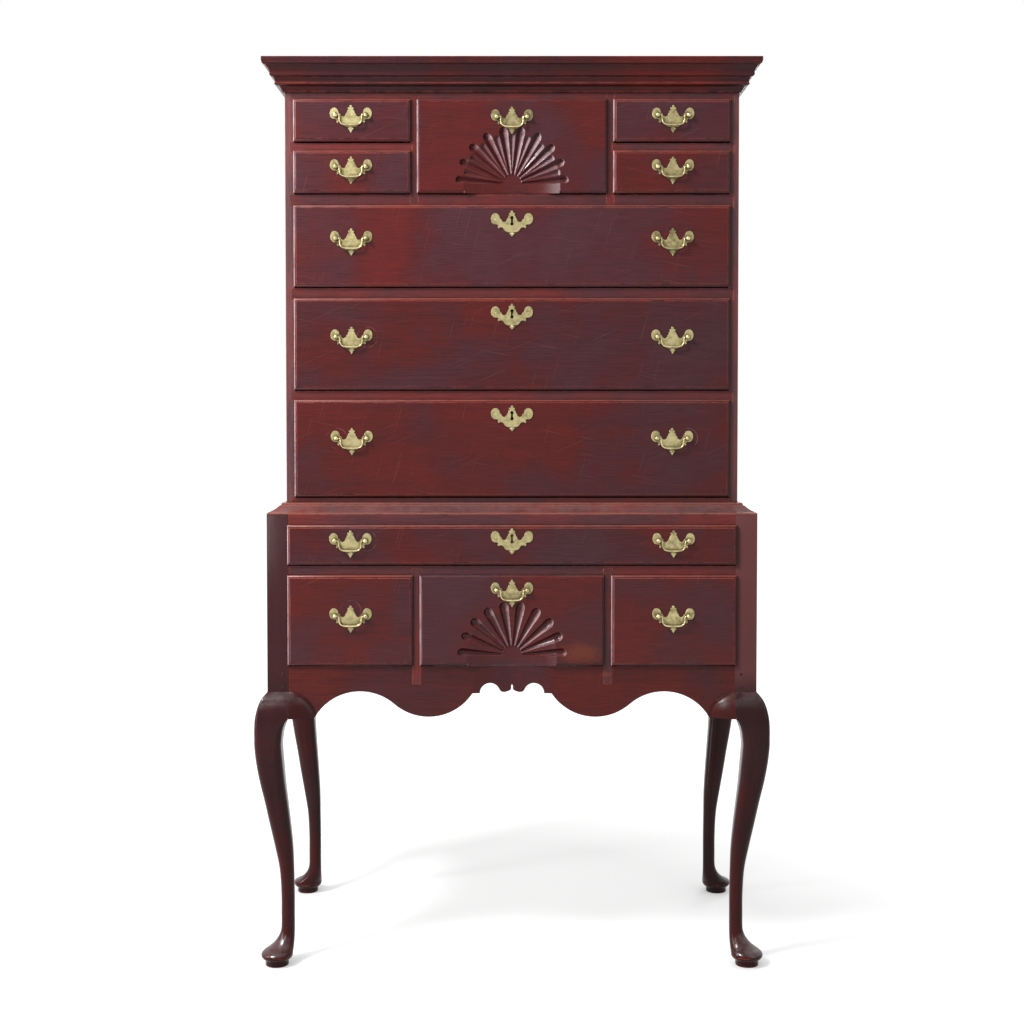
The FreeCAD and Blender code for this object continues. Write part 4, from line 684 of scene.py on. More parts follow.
# each path runs from the case outwards and up: (distance out, height above the foot of the moulding)
CORNICE_PATH = [
    (0, 5.2), (4.2, 5.2), (4.6, 8.0), (6.0, 9.0), ((7.7, 14.2), (12.3, 17.3)), (16.6, 17.9),
    ((18.3, 20.0), (16.8, 22.2)), (17.2, 23.0), ((17.7, 27.6), (19.6, 31.2)), (20.0, 32.6), (25.8, 34.4),
    (26.6, 36.0), (26.7, 38.0), ((28.1, 46.2), (32.5, 52.0)), (33.2, 53.4), (34.8, 54.6),
    ((38.8, 55.7), (40.1, 59.3)), (41, 60.2), (41, 69), (0, 69),
]
WAIST_PATH = [
    (0, 0), (34.2, 0), (34.2, 2.7), (31.4, 3.5), ((20.4, 9.2), (12.0, 16.0)), (9.2, 16.8), (8.4, 20.5), (7.2, 21.5),
    (0, 21.5),
]
UPPER_HALF, UPPER_FRONT, BACK = 455.0, -210.0, 245.0


def build_moulding(node, path, half, front, base, finish):
    """Three mitred lengths, across the front and down both sides."""
    section = traced(path, 7)
    gathered = Gathered()
    for side in (0, 1, -1):
        points = []
        for out, high in section:
            near = (side or -1) * (half + out), front - out
            far = (side * (half + out), BACK) if side else (half + out, front - out)
            points.append([Vector((x * MM, y * MM, (base + high) * MM)) for x, y in (near, far)])
        work = bmesh.new()
        ends = [[work.verts.new(pair[end]) for pair in points] for end in (0, 1)]
        close_loops(work, ends)
        ease(work, 0.35 * MM, 40)
        gathered.add(work, 0, BACKWARDS if side else ACROSS)
    gathered.replace(node, "run", "case_wood", [finish], 28)


build_moulding("cornice", CORNICE_PATH, UPPER_HALF, UPPER_FRONT, 1751.0, CORNICE_FINISH)
build_moulding("waist_moulding", WAIST_PATH, UPPER_HALF + 0.8, UPPER_FRONT - 0.8, 913.0, WAIST_FINISH)


# ---------------------------------------------------------------- cabriole legs

# height as a share from ankle to knee line, outer edge, inner edge, roundness outside, roundness of the other corners
LEG_STATIONS = [
    (1.0, 0.0, None, 0.04, 0.0), (0.986, 0.24, None, 0.1, 0.0), (0.966, 0.5, None, 0.16, 0.0),
    (0.935, 0.73, None, 0.22, 0.0), (0.894, 0.9, None, 0.26, 0.0), (0.884, 0.93, 0.885, 0.28, 0.03),
    (0.871, 0.958, 0.81, 0.31, 0.14), (0.858, 0.975, 0.755, 0.34, 0.25), (0.844, 0.988, 0.71, 0.37, 0.35),
    (0.82, 1.0, 0.655, 0.41, 0.44), (0.79, 1.0, 0.62, 0.45, 0.5), (0.757, 1.0, 0.6, 0.48, 0.54),
    (0.677, 0.88, 0.65, 0.54, 0.6), (0.586, 0.64, 0.71, 0.62, 0.67), (0.493, 0.32, 0.79, 0.7, 0.73),
    (0.392, 0.0, 0.875, 0.78, 0.76), (0.271, -0.48, 0.96, 0.85, 0.84), (0.164, -0.86, 0.985, 0.92, 0.92),
    (0.041, -1.0, 1.0, 0.97, 0.97),
]
PAD_STATIONS = [(98, 0, 0), (72, 0, 0.004), (62, 0, 0.04), (54, 0.02, 0.12), (48, 0.08, 0.22), (42, 0.2, 0.35),
                (36.6, 0.36, 0.51), (32.5, 0.52, 0.68), (29.4, 0.68, 0.83), (26.5, 0.84, 0.93), (23.5, 0.96, 0.99),
                (21, 1.0, 1.0)]
SHOE_STATIONS = [(18.8, 31.5), (16.8, 30.6), (15.0, 29.2), (13.4, 27.5), (12.1, 25.8), (11.3, 24.6), (10.6, 23.6),
                 (9.2, 23.1), (1.6, 23.3), (0.5, 23.0), (0.0, 22.2)]
KNEE_LINE, ANKLE_HEIGHT, POST, KNEE_OUT, ANKLE_IN, ANKLE = 556.5, 118.0, 43.5, 25.0, 21.0, 27.0
CASE_TOP, BLOCK_FOOT, BLOCK_REACH = 913.0, 506.0, 52.5
HALF_WIDE, HALF_DEEP = 490.0, 245.0
PAD_MIDDLE, PAD_RADIUS = -14.8, 31.8


def leg_sections():
    """Height, low edge, high edge and the two roundnesses, from the knee line down to the pad, in millimetres."""
    inner_at_ankle = ANKLE_IN + ANKLE
    rows = []
    for share, outer, inner, outside, others in LEG_STATIONS:
        high = outer * (KNEE_OUT if outer > 0 else ANKLE_IN)
        low = -POST if inner is None else -inner * inner_at_ankle
        rows.append((ANKLE_HEIGHT + share * (KNEE_LINE - ANKLE_HEIGHT), low, high, outside, others))
    pad_low, pad_high = PAD_MIDDLE - PAD_RADIUS, PAD_MIDDLE + PAD_RADIUS
    for height, inwards, outwards in PAD_STATIONS:
        low = -inner_at_ankle + inwards * (pad_low + inner_at_ankle)
        high = -ANKLE_IN + outwards * (pad_high + ANKLE_IN)
        rows.append((height, low, high, 0.985, 0.985))
    return rows


def around(rows, i):
    """The row before one, the row itself and the next two, held at both ends."""
    return (Vector(rows[min(max(k, 0), len(rows) - 1)]) for k in range(i - 1, i + 3))


def smooth_row(rows, steps):
    """Rows of numbers with smooth curves drawn through them."""
    out = []
    for i in range(len(rows) - 1):
        before, here, after, then = around(rows, i)
        gap = max(here[0] - after[0], 1e-6)
        lead = (before - after) * (gap / max(before[0] - after[0], 1e-6))
        tail = (here - then) * (gap / max(here[0] - then[0], 1e-6))
        for step in range(steps):
            t = step / steps
            a, b = (1 + 2 * t) * (1 - t) ** 2, t * (1 - t) ** 2
            c, d = t * t * (3 - 2 * t), t * t * (t - 1)
            out.append(here * a - lead * b + after * c - tail * d)
    return out + [Vector(rows[-1])]


LEG_ROWS = smooth_row(leg_sections(), 5)


def corner_ring(low, high, outside, others, sides=12):
    """A square from low to high with round corners, on the diagonal of the leg; its last corner is the outer one."""
    half, middle = (high - low) / 2, (high + low) / 2
    ring = []
    for start, (across, along) in enumerate(((1, 1), (-1, 1), (-1, -1), (1, -1))):
        radius = max((outside if start == 3 else others) * half, 0.6)
        x, y = middle + across * (half - radius), -middle + along * (half - radius)
        for step in range(sides + 1):
            turn = math.pi / 2 * (start + step / sides)
            ring.append((x + radius * math.cos(turn), y + radius * math.sin(turn)))
    return ring


def leg_place(angle, corner_x, corner_y):
    return Matrix.Translation((corner_x * MM, corner_y * MM, 0)) @ Matrix.Rotation(math.radians(angle), 4, "Z")


def build_leg(name, place):
    """One timber from the top of its post to the floor."""
    rows = [(CASE_TOP, -POST, -0.4, 0.0, 0.0), (CASE_TOP - 0.6, -POST, 0.0, 0.0, 0.0),
            (KNEE_LINE + 0.3, -POST, 0.0, 0.0, 0.0)]
    rows += [tuple(row) for row in LEG_ROWS]
    rows += [(height, PAD_MIDDLE - reach, PAD_MIDDLE + reach, 0.99, 0.99) for height, reach in SHOE_STATIONS]
    work = bmesh.new()
    close_loops(work, [[work.verts.new(place @ Vector((x * MM, y * MM, height * MM))) for x, y in corner_ring(*shape)]
                       for height, *shape in rows])
    gathered = Gathered()
    gathered.add(work, 0, UPRIGHT)
    gathered.replace(name, "shaped", "case_wood", [LEG_FINISH], 40)


def knee_out_at(height):
    """How far the knee stands out at a height."""
    for above, below in zip(LEG_ROWS, LEG_ROWS[1:]):
        if below[0] <= height <= above[0]:
            share = (above[0] - height) / max(above[0] - below[0], 1e-6)
            return above[2] + (below[2] - above[2]) * share
    return 0.0


def knee_block(place, sideways):
    """A carved block that carries the knee's curve on to the case; it stands beside the leg's post."""
    columns, levels = 16, 14
    work = bmesh.new()

    def corner(along, out, height):
        spot = (out, POST + along, height) if sideways else (-POST - along, -out, height)
        return work.verts.new(place @ (Vector(spot) * MM))

    front, back = [], []
    for i in range(columns + 1):
        share = 1 - (1 - i / columns) ** 1.5
        along = 0.02 + share * (BLOCK_REACH - 0.02)
        top = BLOCK_FOOT + max((KNEE_LINE - BLOCK_FOOT) * (1 - share**1.85) ** (1 / 1.85), 1.6)
        wide = 0.12 + 0.88 * (1 - share**1.45)
        rim = 3.6 * min(1.0, along / 14)
        front.append([])
        back.append([])
        for j in range(levels + 1):
            rise = 1 - (1 - j / levels) ** 1.6
            height = BLOCK_FOOT + rise * (top - BLOCK_FOOT)
            full = knee_out_at(BLOCK_FOOT + rise * (KNEE_LINE - BLOCK_FOOT))
            out = max(full * wide, rim if j < levels else rim * 0.72, 0.15)
            front[-1].append(corner(along, out, height))
            rim_spot = i in (0, columns) or j in (0, levels)
            back[-1].append(corner(along, 0.0, height) if rim_spot else None)
    for i in range(columns):
        for j in range(levels):
            work.faces.new((front[i][j], front[i + 1][j], front[i + 1][j + 1], front[i][j + 1]))
    ring = [(i, 0) for i in range(columns + 1)] + [(columns, j) for j in range(1, levels + 1)] + \
        [(i, levels) for i in reversed(range(columns))] + [(0, j) for j in reversed(range(1, levels))]
    for (i, j), (k, m) in zip(ring, ring[1:] + ring[:1]):
        work.faces.new((front[i][j], back[i][j], back[k][m], front[k][m]))
    work.faces.new([back[i][j] for i, j in ring])
    bmesh.ops.recalc_face_normals(work, faces=work.faces)
    return work


LEG_PLACES = {
    "leg_front_right": leg_place(0, HALF_WIDE, -HALF_DEEP),
    "leg_rear_right": leg_place(90, HALF_WIDE, HALF_DEEP),
    "leg_rear_left": leg_place(180, -HALF_WIDE, HALF_DEEP),
    "leg_front_left": leg_place(270, -HALF_WIDE, -HALF_DEEP),
}
for leg, place in LEG_PLACES.items():
    build_leg(leg, place)

blocks = Gathered()
for leg, sides in (("leg_front_right", (False, True)), ("leg_front_left", (False, True)),
                   ("leg_rear_right", (False,)), ("leg_rear_left", (True,))):
    for sideways in sides:
        blocks.add(knee_block(LEG_PLACES[leg], sideways), 0, UPRIGHT)
blocks.replace("knee_blocks", "carved", "case_wood", [LEG_FINISH], 50)


# ---------------------------------------------------------------- drawers

DRAWER_NAMES = ["top_left", "top_right", "small_left", "small_right", "upper_fan", "first_long", "second_long",
                "third_long", "lower_long", "lower_left", "lower_right", "lower_fan"]


def face_of(name):
    """Where the front of a drawer is, in y."""
    return LOWER_FACE if name.startswith("lower") else UPPER_FACE


def build_drawer(name):
    """Stained front, bare sides, back and bottom."""
    face, fan = face_of(name), name.endswith("fan")
    gathered = Gathered()
    for points, faces in node_solids(f"drawer_{name}"):
        if span(points)[0].y < face + 0.004:
            front = fan_front(points, face, name == "upper_fan") if fan else shell(points, faces, 0.0004)
            gathered.add(front, facing_back, ACROSS)
        else:
            gathered.add(shell(points, faces, 0.0006), 1)
    gathered.replace(f"drawer_{name}", "dressed", "drawer_wood", [FAN_FINISH if fan else DRAWER_FINISH, BARE_FINISH])


# carved fans, in millimetres; the upper one (True) is larger and has rays between its flutes
FAN_RISE, FAN_HUB, FLUTES, FAN_START, SCOOP_DEEP = 20.0, 19.8, 10, 4.0, 14.0
FAN_RADII = {True: 113.0, False: 109.0}
SCOOP_HALVES = {True: 97.0, False: 90.0}
RAY_START, RAY_END = 32, 99
# the lip round a fan's front, and the distances from its edge at which its grid has lines
LIP_WIDE, LIP_SINK, LIP_THICK, LIP_REACH = 5.2, 1.0, 7.7, 4
LIP_LINES = (0.0, 0.12, 0.4, 0.9, 1.5, 2.2, 3.0, 3.8, 4.6, 5.2, 5.3)
LIP_CLEAR, FINE_STEP, COARSE_STEP = 5.4, 0.9, 8.0


def scoop_depth(x, half):
    """How deep the wide hollow is at x from the middle."""
    if abs(x) >= half:
        return 0.0
    radius = (half**2 + SCOOP_DEEP**2) / (2 * SCOOP_DEEP)
    return SCOOP_DEEP - radius + math.sqrt(radius**2 - x * x)


def fan_depth(x, v, rays):
    """How deep the carving is at x from the middle and v above the fan's centre."""
    reach, half = FAN_RADII[rays], SCOOP_HALVES[rays]
    radius = math.hypot(x, v)
    if v < 0 or radius < FAN_HUB:
        return scoop_depth(x, half)
    if radius > reach + 2:
        return 0.0
    dish = scoop_depth(radius, half) * 0.86
    step = (180 - 2 * FAN_START) / (FLUTES - 1)
    turn = math.degrees(math.atan2(v, x)) - FAN_START
    nearest = min(max(round(turn / step), 0), FLUTES - 1)
    off = radius * math.sin(math.radians(turn - nearest * step))
    round_end = reach * 0.9
    share = (radius - FAN_HUB) / (round_end - FAN_HUB)
    deep = 0.0
    if radius < reach:
        wide = 2.4 + 6.8 * min(share, 1.0)
        close = 1.0
        if share > 1:
            end = (radius - round_end) / (reach - round_end)
            close = math.sqrt(max(0.0, 1 - end * end))
            wide *= close
        if abs(off) < wide:
            across = abs(off) / wide
            hollow = (1 - across**1.25) if rays else (1 - across**2) ** 0.85
            deep = (3.0 + 4.4 * min(share, 1.0)) * hollow * math.sqrt(close)
    if rays:
        between = turn / step - 0.5
        ray = round(between)
        if 0 <= ray <= FLUTES - 2 and RAY_START < radius < RAY_END:
            off = radius * math.sin(math.radians((between - ray) * step))
            wide = 0.8 + 6.4 * (radius - RAY_START) / 66
            if abs(off) < wide:
                close = min(1.0, (RAY_END - radius) / 4)
                deep = max(deep, 4.8 * (wide / 7.2) * (1 - abs(off) / wide) * close)
    return dish + deep


def graded(low, high, fine_low, fine_high):
    """Grid lines from low to high: very close at both ends, fine in the middle part, coarse between."""
    lines = {round(low + s, 4) for s in LIP_LINES} | {round(high - s, 4) for s in LIP_LINES}
    count = int(round((fine_high - fine_low) / FINE_STEP))
    lines |= {round(fine_low + (fine_high - fine_low) * i / count, 4) for i in range(count + 1)}
    for start, end in ((low + LIP_LINES[-1], fine_low), (fine_high, high - LIP_LINES[-1])):
        if end - start > COARSE_STEP:
            parts = int((end - start) / COARSE_STEP)
            lines |= {round(start + (end - start) * i / parts, 4) for i in range(1, parts)}
    ordered = sorted(line for line in lines if low - 1e-6 <= line <= high + 1e-6)
    kept = [ordered[0]]
    for line in ordered[1:]:
        if line - kept[-1] > 0.08:
            kept.append(line)
    return kept


def fan_front(points, face, rays):
    """A lipped drawer front with its fan carved in, as one closed shell."""
    low, high = span(points)
    x0, x1, z0, z1 = (value / MM for value in (low.x, high.x, low.z, high.z))
    y0, back = face / MM, high.y / MM
    lip_back = y0 + LIP_THICK
    centre = z0 + FAN_RISE
    reach = FAN_RADII[rays]
    across = graded(x0, x1, -reach - 2, reach + 2)
    upward = graded(z0, z1, z0 + LIP_CLEAR, min(centre + reach + 1.5, z1 - LIP_CLEAR))

    def lip(distance):
        if distance >= LIP_WIDE:
            return 0.0
        return LIP_SINK + LIP_WIDE - math.sqrt(max(0.0, LIP_WIDE**2 - (LIP_WIDE - distance) ** 2))

    def surface(x, z):
        """The face's y; the hollow leaves no lip under it."""
        rim = lip(min(x - x0, x1 - x, z1 - z))
        if abs(x) >= SCOOP_HALVES[rays] - 1:
            rim = max(rim, lip(z - z0))
        return y0 + max(fan_depth(x, z - centre, rays), rim)

    work = bmesh.new()
    grid = [[work.verts.new((x * MM, surface(x, z) * MM, z * MM)) for x in across] for z in upward]
    for row in range(len(upward) - 1):
        for column in range(len(across) - 1):
            work.faces.new((grid[row][column], grid[row][column + 1], grid[row + 1][column + 1], grid[row + 1][column]))
    ring = list(grid[0]) + [row[-1] for row in grid[1:]] + list(reversed(grid[-1]))[1:] + \
        [row[0] for row in reversed(grid[1:-1])]

    def loop(least_depth, rise, tucked_in):
        """The rim again, further back; tucked in, it is as small as the opening."""
        made = []
        for vertex in ring:
            x, z = vertex.co.x / MM, vertex.co.z / MM
            y = max(vertex.co.y / MM + rise, least_depth)
            if tucked_in:
                x, z = min(max(x, x0 + LIP_REACH), x1 - LIP_REACH), min(z, z1 - LIP_REACH)
            made.append(work.verts.new((x * MM, y * MM, z * MM)))
        return made

    loops = [ring, loop(lip_back, 0.01, False), loop(lip_back, 0.02, True), loop(back, 0.0, True)]
    for first, second in zip(loops, loops[1:]):
        for i in range(len(first)):
            j = (i + 1) % len(first)
            work.faces.new((first[i], second[i], second[j], first[j]))
    work.faces.new(list(reversed(loops[-1])))
    bmesh.ops.remove_doubles(work, verts=work.verts, dist=1e-7)
    bmesh.ops.dissolve_degenerate(work, edges=work.edges, dist=1e-7)
    bmesh.ops.recalc_face_normals(work, faces=work.faces)
    return work


for drawer in DRAWER_NAMES:
    build_drawer(drawer)


# ---------------------------------------------------------------- brasses, in millimetres about the posts' level

def plate_outline(drop):
    """A bat's-wing plate: stepped top, two round wings with a spur below, and a small pendant, drop longer."""
    disc = [(33.1 + 9.1 * math.sin(turn), 4.0 + 11.5 * math.cos(turn))
            for turn in (-1.45 + 4.75 * i / 26 for i in range(27))]
    half = traced([
        (0.0, 21.0), (0.9, 20.5), ((2.3, 19.4), (2.6, 17.8)), (1.9, 16.7), (3.4, 16.2), ((5.6, 15.6), (6.1, 13.9)),
        ((5.7, 12.6), (4.5, 11.9)), (4.5, 11.0), (7.0, 10.5), ((7.9, 6.6), (10.4, 2.8)), ((15.3, -2.4), (20.8, 1.8)),
        (21.2, 3.9), (23.4, 4.0)]) + disc + traced([
            disc[-1], (30.2, -7.5), (27.4, -9.2), (28.9, -12.3), (26.9, -15.2), ((21.3, -13.2), (16.4, -16.2)),
            ((12.0, -21.6), (6.6, -23.2)), (3.6, -23.6), (3.7, -24.6), (7.6, -25.6), (4.3, -27.0),
            ((3.0, -28.2), (2.1, -29.4)), (0.0, -31.6)])[1:]
    half = [(x, y if y > -25.8 else -25.8 + (y + 25.8) * (1 + drop / 5.8)) for x, y in half]
    return list(reversed(half)) + [(-x, y) for x, y in half[1:-1]]


PLATE, KEY_PLATE = plate_outline(3.2), plate_outline(0.0)
KEYHOLE_HALF = [(3.2 * math.cos(a), 6.1 + 3.2 * math.sin(a)) for a in (-0.95 + 2.52 * i / 8 for i in range(9))]
KEYHOLE_RIGHT = [(x, -y) for x, y in reversed(KEYHOLE_HALF)] + KEYHOLE_HALF
KEYHOLE = KEYHOLE_RIGHT + [(-x, y) for x, y in reversed(KEYHOLE_RIGHT) if x > 1e-6]


def raise_outline(work, outline, centre, depth, shrink=0.0):
    """A ring of corners on an outline, a depth in front of its centre."""
    points = inset(outline, shrink) if shrink else outline
    return [work.verts.new(centre + Vector((x * MM, -depth * MM, y * MM))) for x, y in points]


def cast_plate(centre, keyhole=False):
    """A plate with filed edges. Its back is on the drawer's face."""
    work = bmesh.new()
    rims = [(KEY_PLATE if keyhole else PLATE, ((0.0, 0.0), (1.0, 0.0), (1.6, 0.5)))]
    if keyhole:
        rims.append((KEYHOLE, ((0.0, 0.0), (1.3, 0.0), (1.6, -0.25))))
    fronts, backs = [], []
    for outline, steps in rims:
        rings = [raise_outline(work, outline, centre, depth, shrink) for depth, shrink in steps]
        for first, second in zip(rings, rings[1:]):
            bridge(work, first, second)
        backs.append(rings[0])
        fronts.append(rings[-1])
    for loops in (fronts, backs):
        edges = [work.edges.get((loop[i - 1], loop[i])) for loop in loops for i in range(len(loop))]
        edges = [edge or work.edges.new((loop[0], loop[-1])) for edge in edges]
        bmesh.ops.triangle_fill(work, use_beauty=True, use_dissolve=False, edges=edges)
    bmesh.ops.recalc_face_normals(work, faces=work.faces)
    return work


# a turned post as (distance out, radius)
POST_RINGS = [(1.6, 4.1), (2.3, 4.1), (2.8, 3.2), (3.4, 2.6), (4.0, 2.7), (4.7, 3.7), (5.7, 4.6), (7.0, 5.0),
              (8.4, 4.9), (9.8, 4.2), (11.0, 3.0), (11.8, 1.5), (12.0, 0.0)]


def turned_post(centre):
    """A post with its foot on the plate and its tip towards the front."""
    work = bmesh.new()
    loops = []
    for out, radius in POST_RINGS:
        spot = centre + Vector((0, -out * MM, 0))
        loops.append(round_ring(work, spot, ACROSS, UPRIGHT, radius * MM, 20) if radius else [work.verts.new(spot)])
    close_loops(work, loops)
    return work


def swept(path, radii):
    """A round rod of changing thickness along a path."""
    work = bmesh.new()
    loops = []
    for i, spot in enumerate(path):
        ahead = path[min(i + 1, len(path) - 1)] - path[max(i - 1, 0)]
        ahead.normalize()
        loops.append(round_ring(work, spot, BACKWARDS, ahead.cross(BACKWARDS).normalized(), radii[i], 10))
    close_loops(work, loops)
    return work


# half a bail as (across, up, radius), from its pin to the middle
HALF_BAIL = [(28.3, 0.0, 1.4), (25.6, 0.0, 1.4), (23.9, -0.4, 1.6), (22.7, -2.4, 1.75), (22.3, -6.0, 1.7),
             (22.0, -10.6, 1.6), (20.3, -15.0, 1.55), (16.6, -18.2, 1.6), (11.6, -19.4, 1.8), (5.8, -19.8, 2.0),
             (0.0, -19.9, 2.15)]


def build_bail(node, x, z, face):
    """A bail hanging from its two posts."""
    full = HALF_BAIL + [(-a, b, c) for a, b, c in reversed(HALF_BAIL[:-1])]
    rows = []
    for i in range(len(full) - 1):
        p0, p1, p2, p3 = around(full, i)
        for step in range(4):
            t = step / 4
            rows.append(0.5 * ((2 * p1) + (p2 - p0) * t + (2 * p0 - 5 * p1 + 4 * p2 - p3) * t * t
                               + (3 * p1 - p0 - 3 * p2 + p3) * t**3))
    rows.append(Vector(full[-1]))
    path = [Vector(((x + row.x) * MM, face - BAIL_OUT * MM, (z + row.y) * MM)) for row in rows]
    gathered = Gathered()
    gathered.add(swept(path, [row.z * MM for row in rows]))
    gathered.replace(node, "cast", "brass", [BRASS_FINISH], 60)


HANDLE_X, POST_X, BAIL_OUT = 322.0, 30.5, 7.5
BAIL_LEVELS = {"top_left": 1709.6, "top_right": 1709.6, "small_left": 1607.1, "small_right": 1607.1,
               "upper_fan": 1706.2, "first_long": 1464.3, "second_long": 1267.6, "third_long": 1064.3,
               "lower_long": 861.0, "lower_left": 710.8, "lower_right": 710.8, "lower_fan": 762.5}
KEY_LEVELS = {"first_long": 1499.8, "second_long": 1313.8, "third_long": 1109.8, "lower_long": 865.0}


def handle_places(name):
    """The middles of a drawer's handles and the nodes of their bails."""
    if name.endswith("long"):
        return [(-HANDLE_X, f"bail_{name}_left"), (HANDLE_X, f"bail_{name}_right")]
    if name.endswith("fan"):
        return [(0.0, f"bail_{name}")]
    return [(-HANDLE_X if name.endswith("left") else HANDLE_X, f"bail_{name}")]


# the square shank of a post, which goes through the front to its nut
SHANK = [(-2.5, -2.5), (2.5, -2.5), (2.5, 2.5), (-2.5, 2.5)]


def build_brasses(name):
    """Plates, turned posts, escutcheon and, inside, the nuts and the lock."""
    face, fan = face_of(name), name.endswith("fan")
    gathered = Gathered()
    for points, faces in node_solids(f"brasses_{name}"):
        low, high = span(points)
        if low.y > face + 0.002:
            lock = high.x - low.x > 0.03
            gathered.add(shell(points, faces, 0.0003), 1 if lock else 2)
    shank_end = -36.0 if fan else -28.0
    level = BAIL_LEVELS[name]
    for x, bail in handle_places(name):
        gathered.add(cast_plate(Vector((x * MM, face, level * MM))), 0)
        for side in (-POST_X, POST_X):
            centre = Vector(((x + side) * MM, face, level * MM))
            gathered.add(turned_post(centre), 2)
            work = bmesh.new()
            close_loops(work, [raise_outline(work, SHANK, centre, depth) for depth in (2.0, shank_end)])
            gathered.add(work, 2)
        build_bail(bail, x, level, face)
    if name in KEY_LEVELS:
        gathered.add(cast_plate(Vector((0, face, KEY_LEVELS[name] * MM)), True), 0)
    plates = DULL_FINISH if fan else PLATE_FINISH
    gathered.replace(f"brasses_{name}", "cast", "brass", [plates, STEEL_FINISH, BRASS_FINISH], 38)


for drawer in DRAWER_NAMES:
    build_brasses(drawer)

for bolt in ("bolt_first_long", "bolt_second_long", "bolt_third_long"):
    for place in frame["nodes"][bolt].material_slots:
        place.material = STEEL_FINISH


# ---------------------------------------------------------------- pegs, pins and nails


def make_head_tree():
    """Small driven heads on the points of a mesh: a low dome with a soft rim."""
    tree = bpy.data.node_groups.new("driven_heads", "GeometryNodeTree")
    for title, kind in (("Places", "Geometry"), ("Radius", "Float"), ("Squash", "Float"), ("Sides", "Int"),
                        ("Finish", "Material")):
        tree.interface.new_socket(title, in_out="INPUT", socket_type=f"NodeSocket{kind}")
    tree.interface.new_socket("Heads", in_out="OUTPUT", socket_type="NodeSocketGeometry")
    given, leave = tree.nodes.new("NodeGroupInput").outputs, tree.nodes.new("NodeGroupOutput").inputs
    put = Nodes(tree).put
    dome = put("GeometryNodeMeshUVSphere", {"Segments": given["Sides"], "Rings": 6, "Radius": given["Radius"]})
    flat = put("ShaderNodeCombineXYZ", {"X": 1.0, "Y": given["Squash"], "Z": 1.0})
    shaped = put("GeometryNodeTransform", {"Geometry": dome.outputs["Mesh"], "Scale": flat.outputs[0]})
    spots = put("GeometryNodeMeshToPoints", {"Mesh": given["Places"]})
    turned = put("FunctionNodeRandomValue", {0: (0.0, 0.0, 0.0), 1: (0.0, 6.28, 0.0), "Seed": 4},
                 data_type="FLOAT_VECTOR")
    copies = put("GeometryNodeInstanceOnPoints", {"Points": spots.outputs[0], "Instance": shaped.outputs[0],
                                                  "Rotation": turned.outputs["Value"]})
    real = put("GeometryNodeRealizeInstances", {"Geometry": copies.outputs[0]})
    done = put("GeometryNodeSetMaterial", {"Geometry": real.outputs[0], "Material": given["Finish"]})
    tree.links.new(done.outputs[0], leave["Heads"])
    return tree


HEADS = make_head_tree()


def driven_heads(name, spots, body, material, radius, squash, sides=12):
    """One piece with a head at each spot, made by the tree and then kept as a plain mesh."""
    mesh = bpy.data.meshes.new(f"{name}_spots")
    mesh.from_pydata([Vector(spot) * MM for spot in spots], [], [])
    holder = show(f"{name}_spots", mesh)
    modifier = holder.modifiers.new("heads", "NODES")
    modifier.node_group = HEADS
    values = {"Radius": radius * MM, "Squash": squash, "Sides": sides, "Finish": material}
    for item in HEADS.interface.items_tree:
        if item.name in values:
            modifier[item.identifier] = values[item.name]
    bpy.context.view_layer.update()
    graph = bpy.context.evaluated_depsgraph_get()
    made = bpy.data.meshes.new_from_object(holder.evaluated_get(graph))
    made.name = name
    bpy.data.objects.remove(holder)
    made.polygons.foreach_set("use_smooth", [True] * len(made.polygons))
    piece = show(name, made)
    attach(piece, body)


PEG_X = 459


def post_pegs(name, y, levels):
    """The pegs of the joints in two posts, on the front or the back of the lower case."""
    pegs = [(side * PEG_X, y, z) for side in (-1, 1) for z in levels]
    driven_heads(name, pegs, "lower_case", PEG_FINISH, 2.9, 0.12)


post_pegs("peg_heads", -HALF_DEEP, (592, 566))

# nails down both edges of the upper back boards, in a slight zigzag
NAIL_ROWS = 12
back_low, back_high = (Vector(corner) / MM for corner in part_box("upper_back"))
nail_levels = [back_low.z + (row + 0.5) * (back_high.z - back_low.z) / NAIL_ROWS for row in range(NAIL_ROWS)]
nails = [(side * (back_high.x - 7 - 2.5 * (row % 2)), back_high.y, level)
         for side in (-1, 1) for row, level in enumerate(nail_levels)]
driven_heads("back_board_nails", nails, "upper_case", STEEL_FINISH, 4.2, 0.22, 9)

post_pegs("rear_peg_heads", HALF_DEEP, (632, 744, 856))

# a pin in each wing and in the pendant of every escutcheon
PLATE_THICK = 1.6
for name, level in KEY_LEVELS.items():
    face = face_of(name) / MM - PLATE_THICK
    pins = [(-33.0, face, level + 2.2), (33.0, face, level + 2.2), (0.0, face, level - 25.6)]
    driven_heads(f"escutcheon_pins_{name}", pins, f"{name}_drawer", BRASS_FINISH, 1.3, 0.6)


# ---------------------------------------------------------------- light, floor and camera


def shown_plain(n):
    """1 for the rays in which the backdrop is seen: by the camera, in varnish and metal, and through glass."""
    path = n.put("ShaderNodeLightPath").outputs
    seen = n.math("MAXIMUM", path["Is Camera Ray"], path["Is Glossy Ray"])
    return n.math("MAXIMUM", seen, path["Is Transmission Ray"])


def make_world(strength):
    """An even pale light; the backdrop itself is white."""
    world = bpy.data.worlds.new("plain_studio")
    world.use_nodes = True
    bpy.context.scene.world = world
    n = Nodes(world.node_tree)
    dim, white = (n.put("ShaderNodeBackground", {"Color": (1, 1, 1), "Strength": level}) for level in (strength, 1.0))
    mixed = n.put("ShaderNodeMixShader", {0: shown_plain(n), 1: dim.outputs[0], 2: white.outputs[0]})
    n.feed(n.tree.nodes["World Output"].inputs["Surface"], mixed.outputs[0])


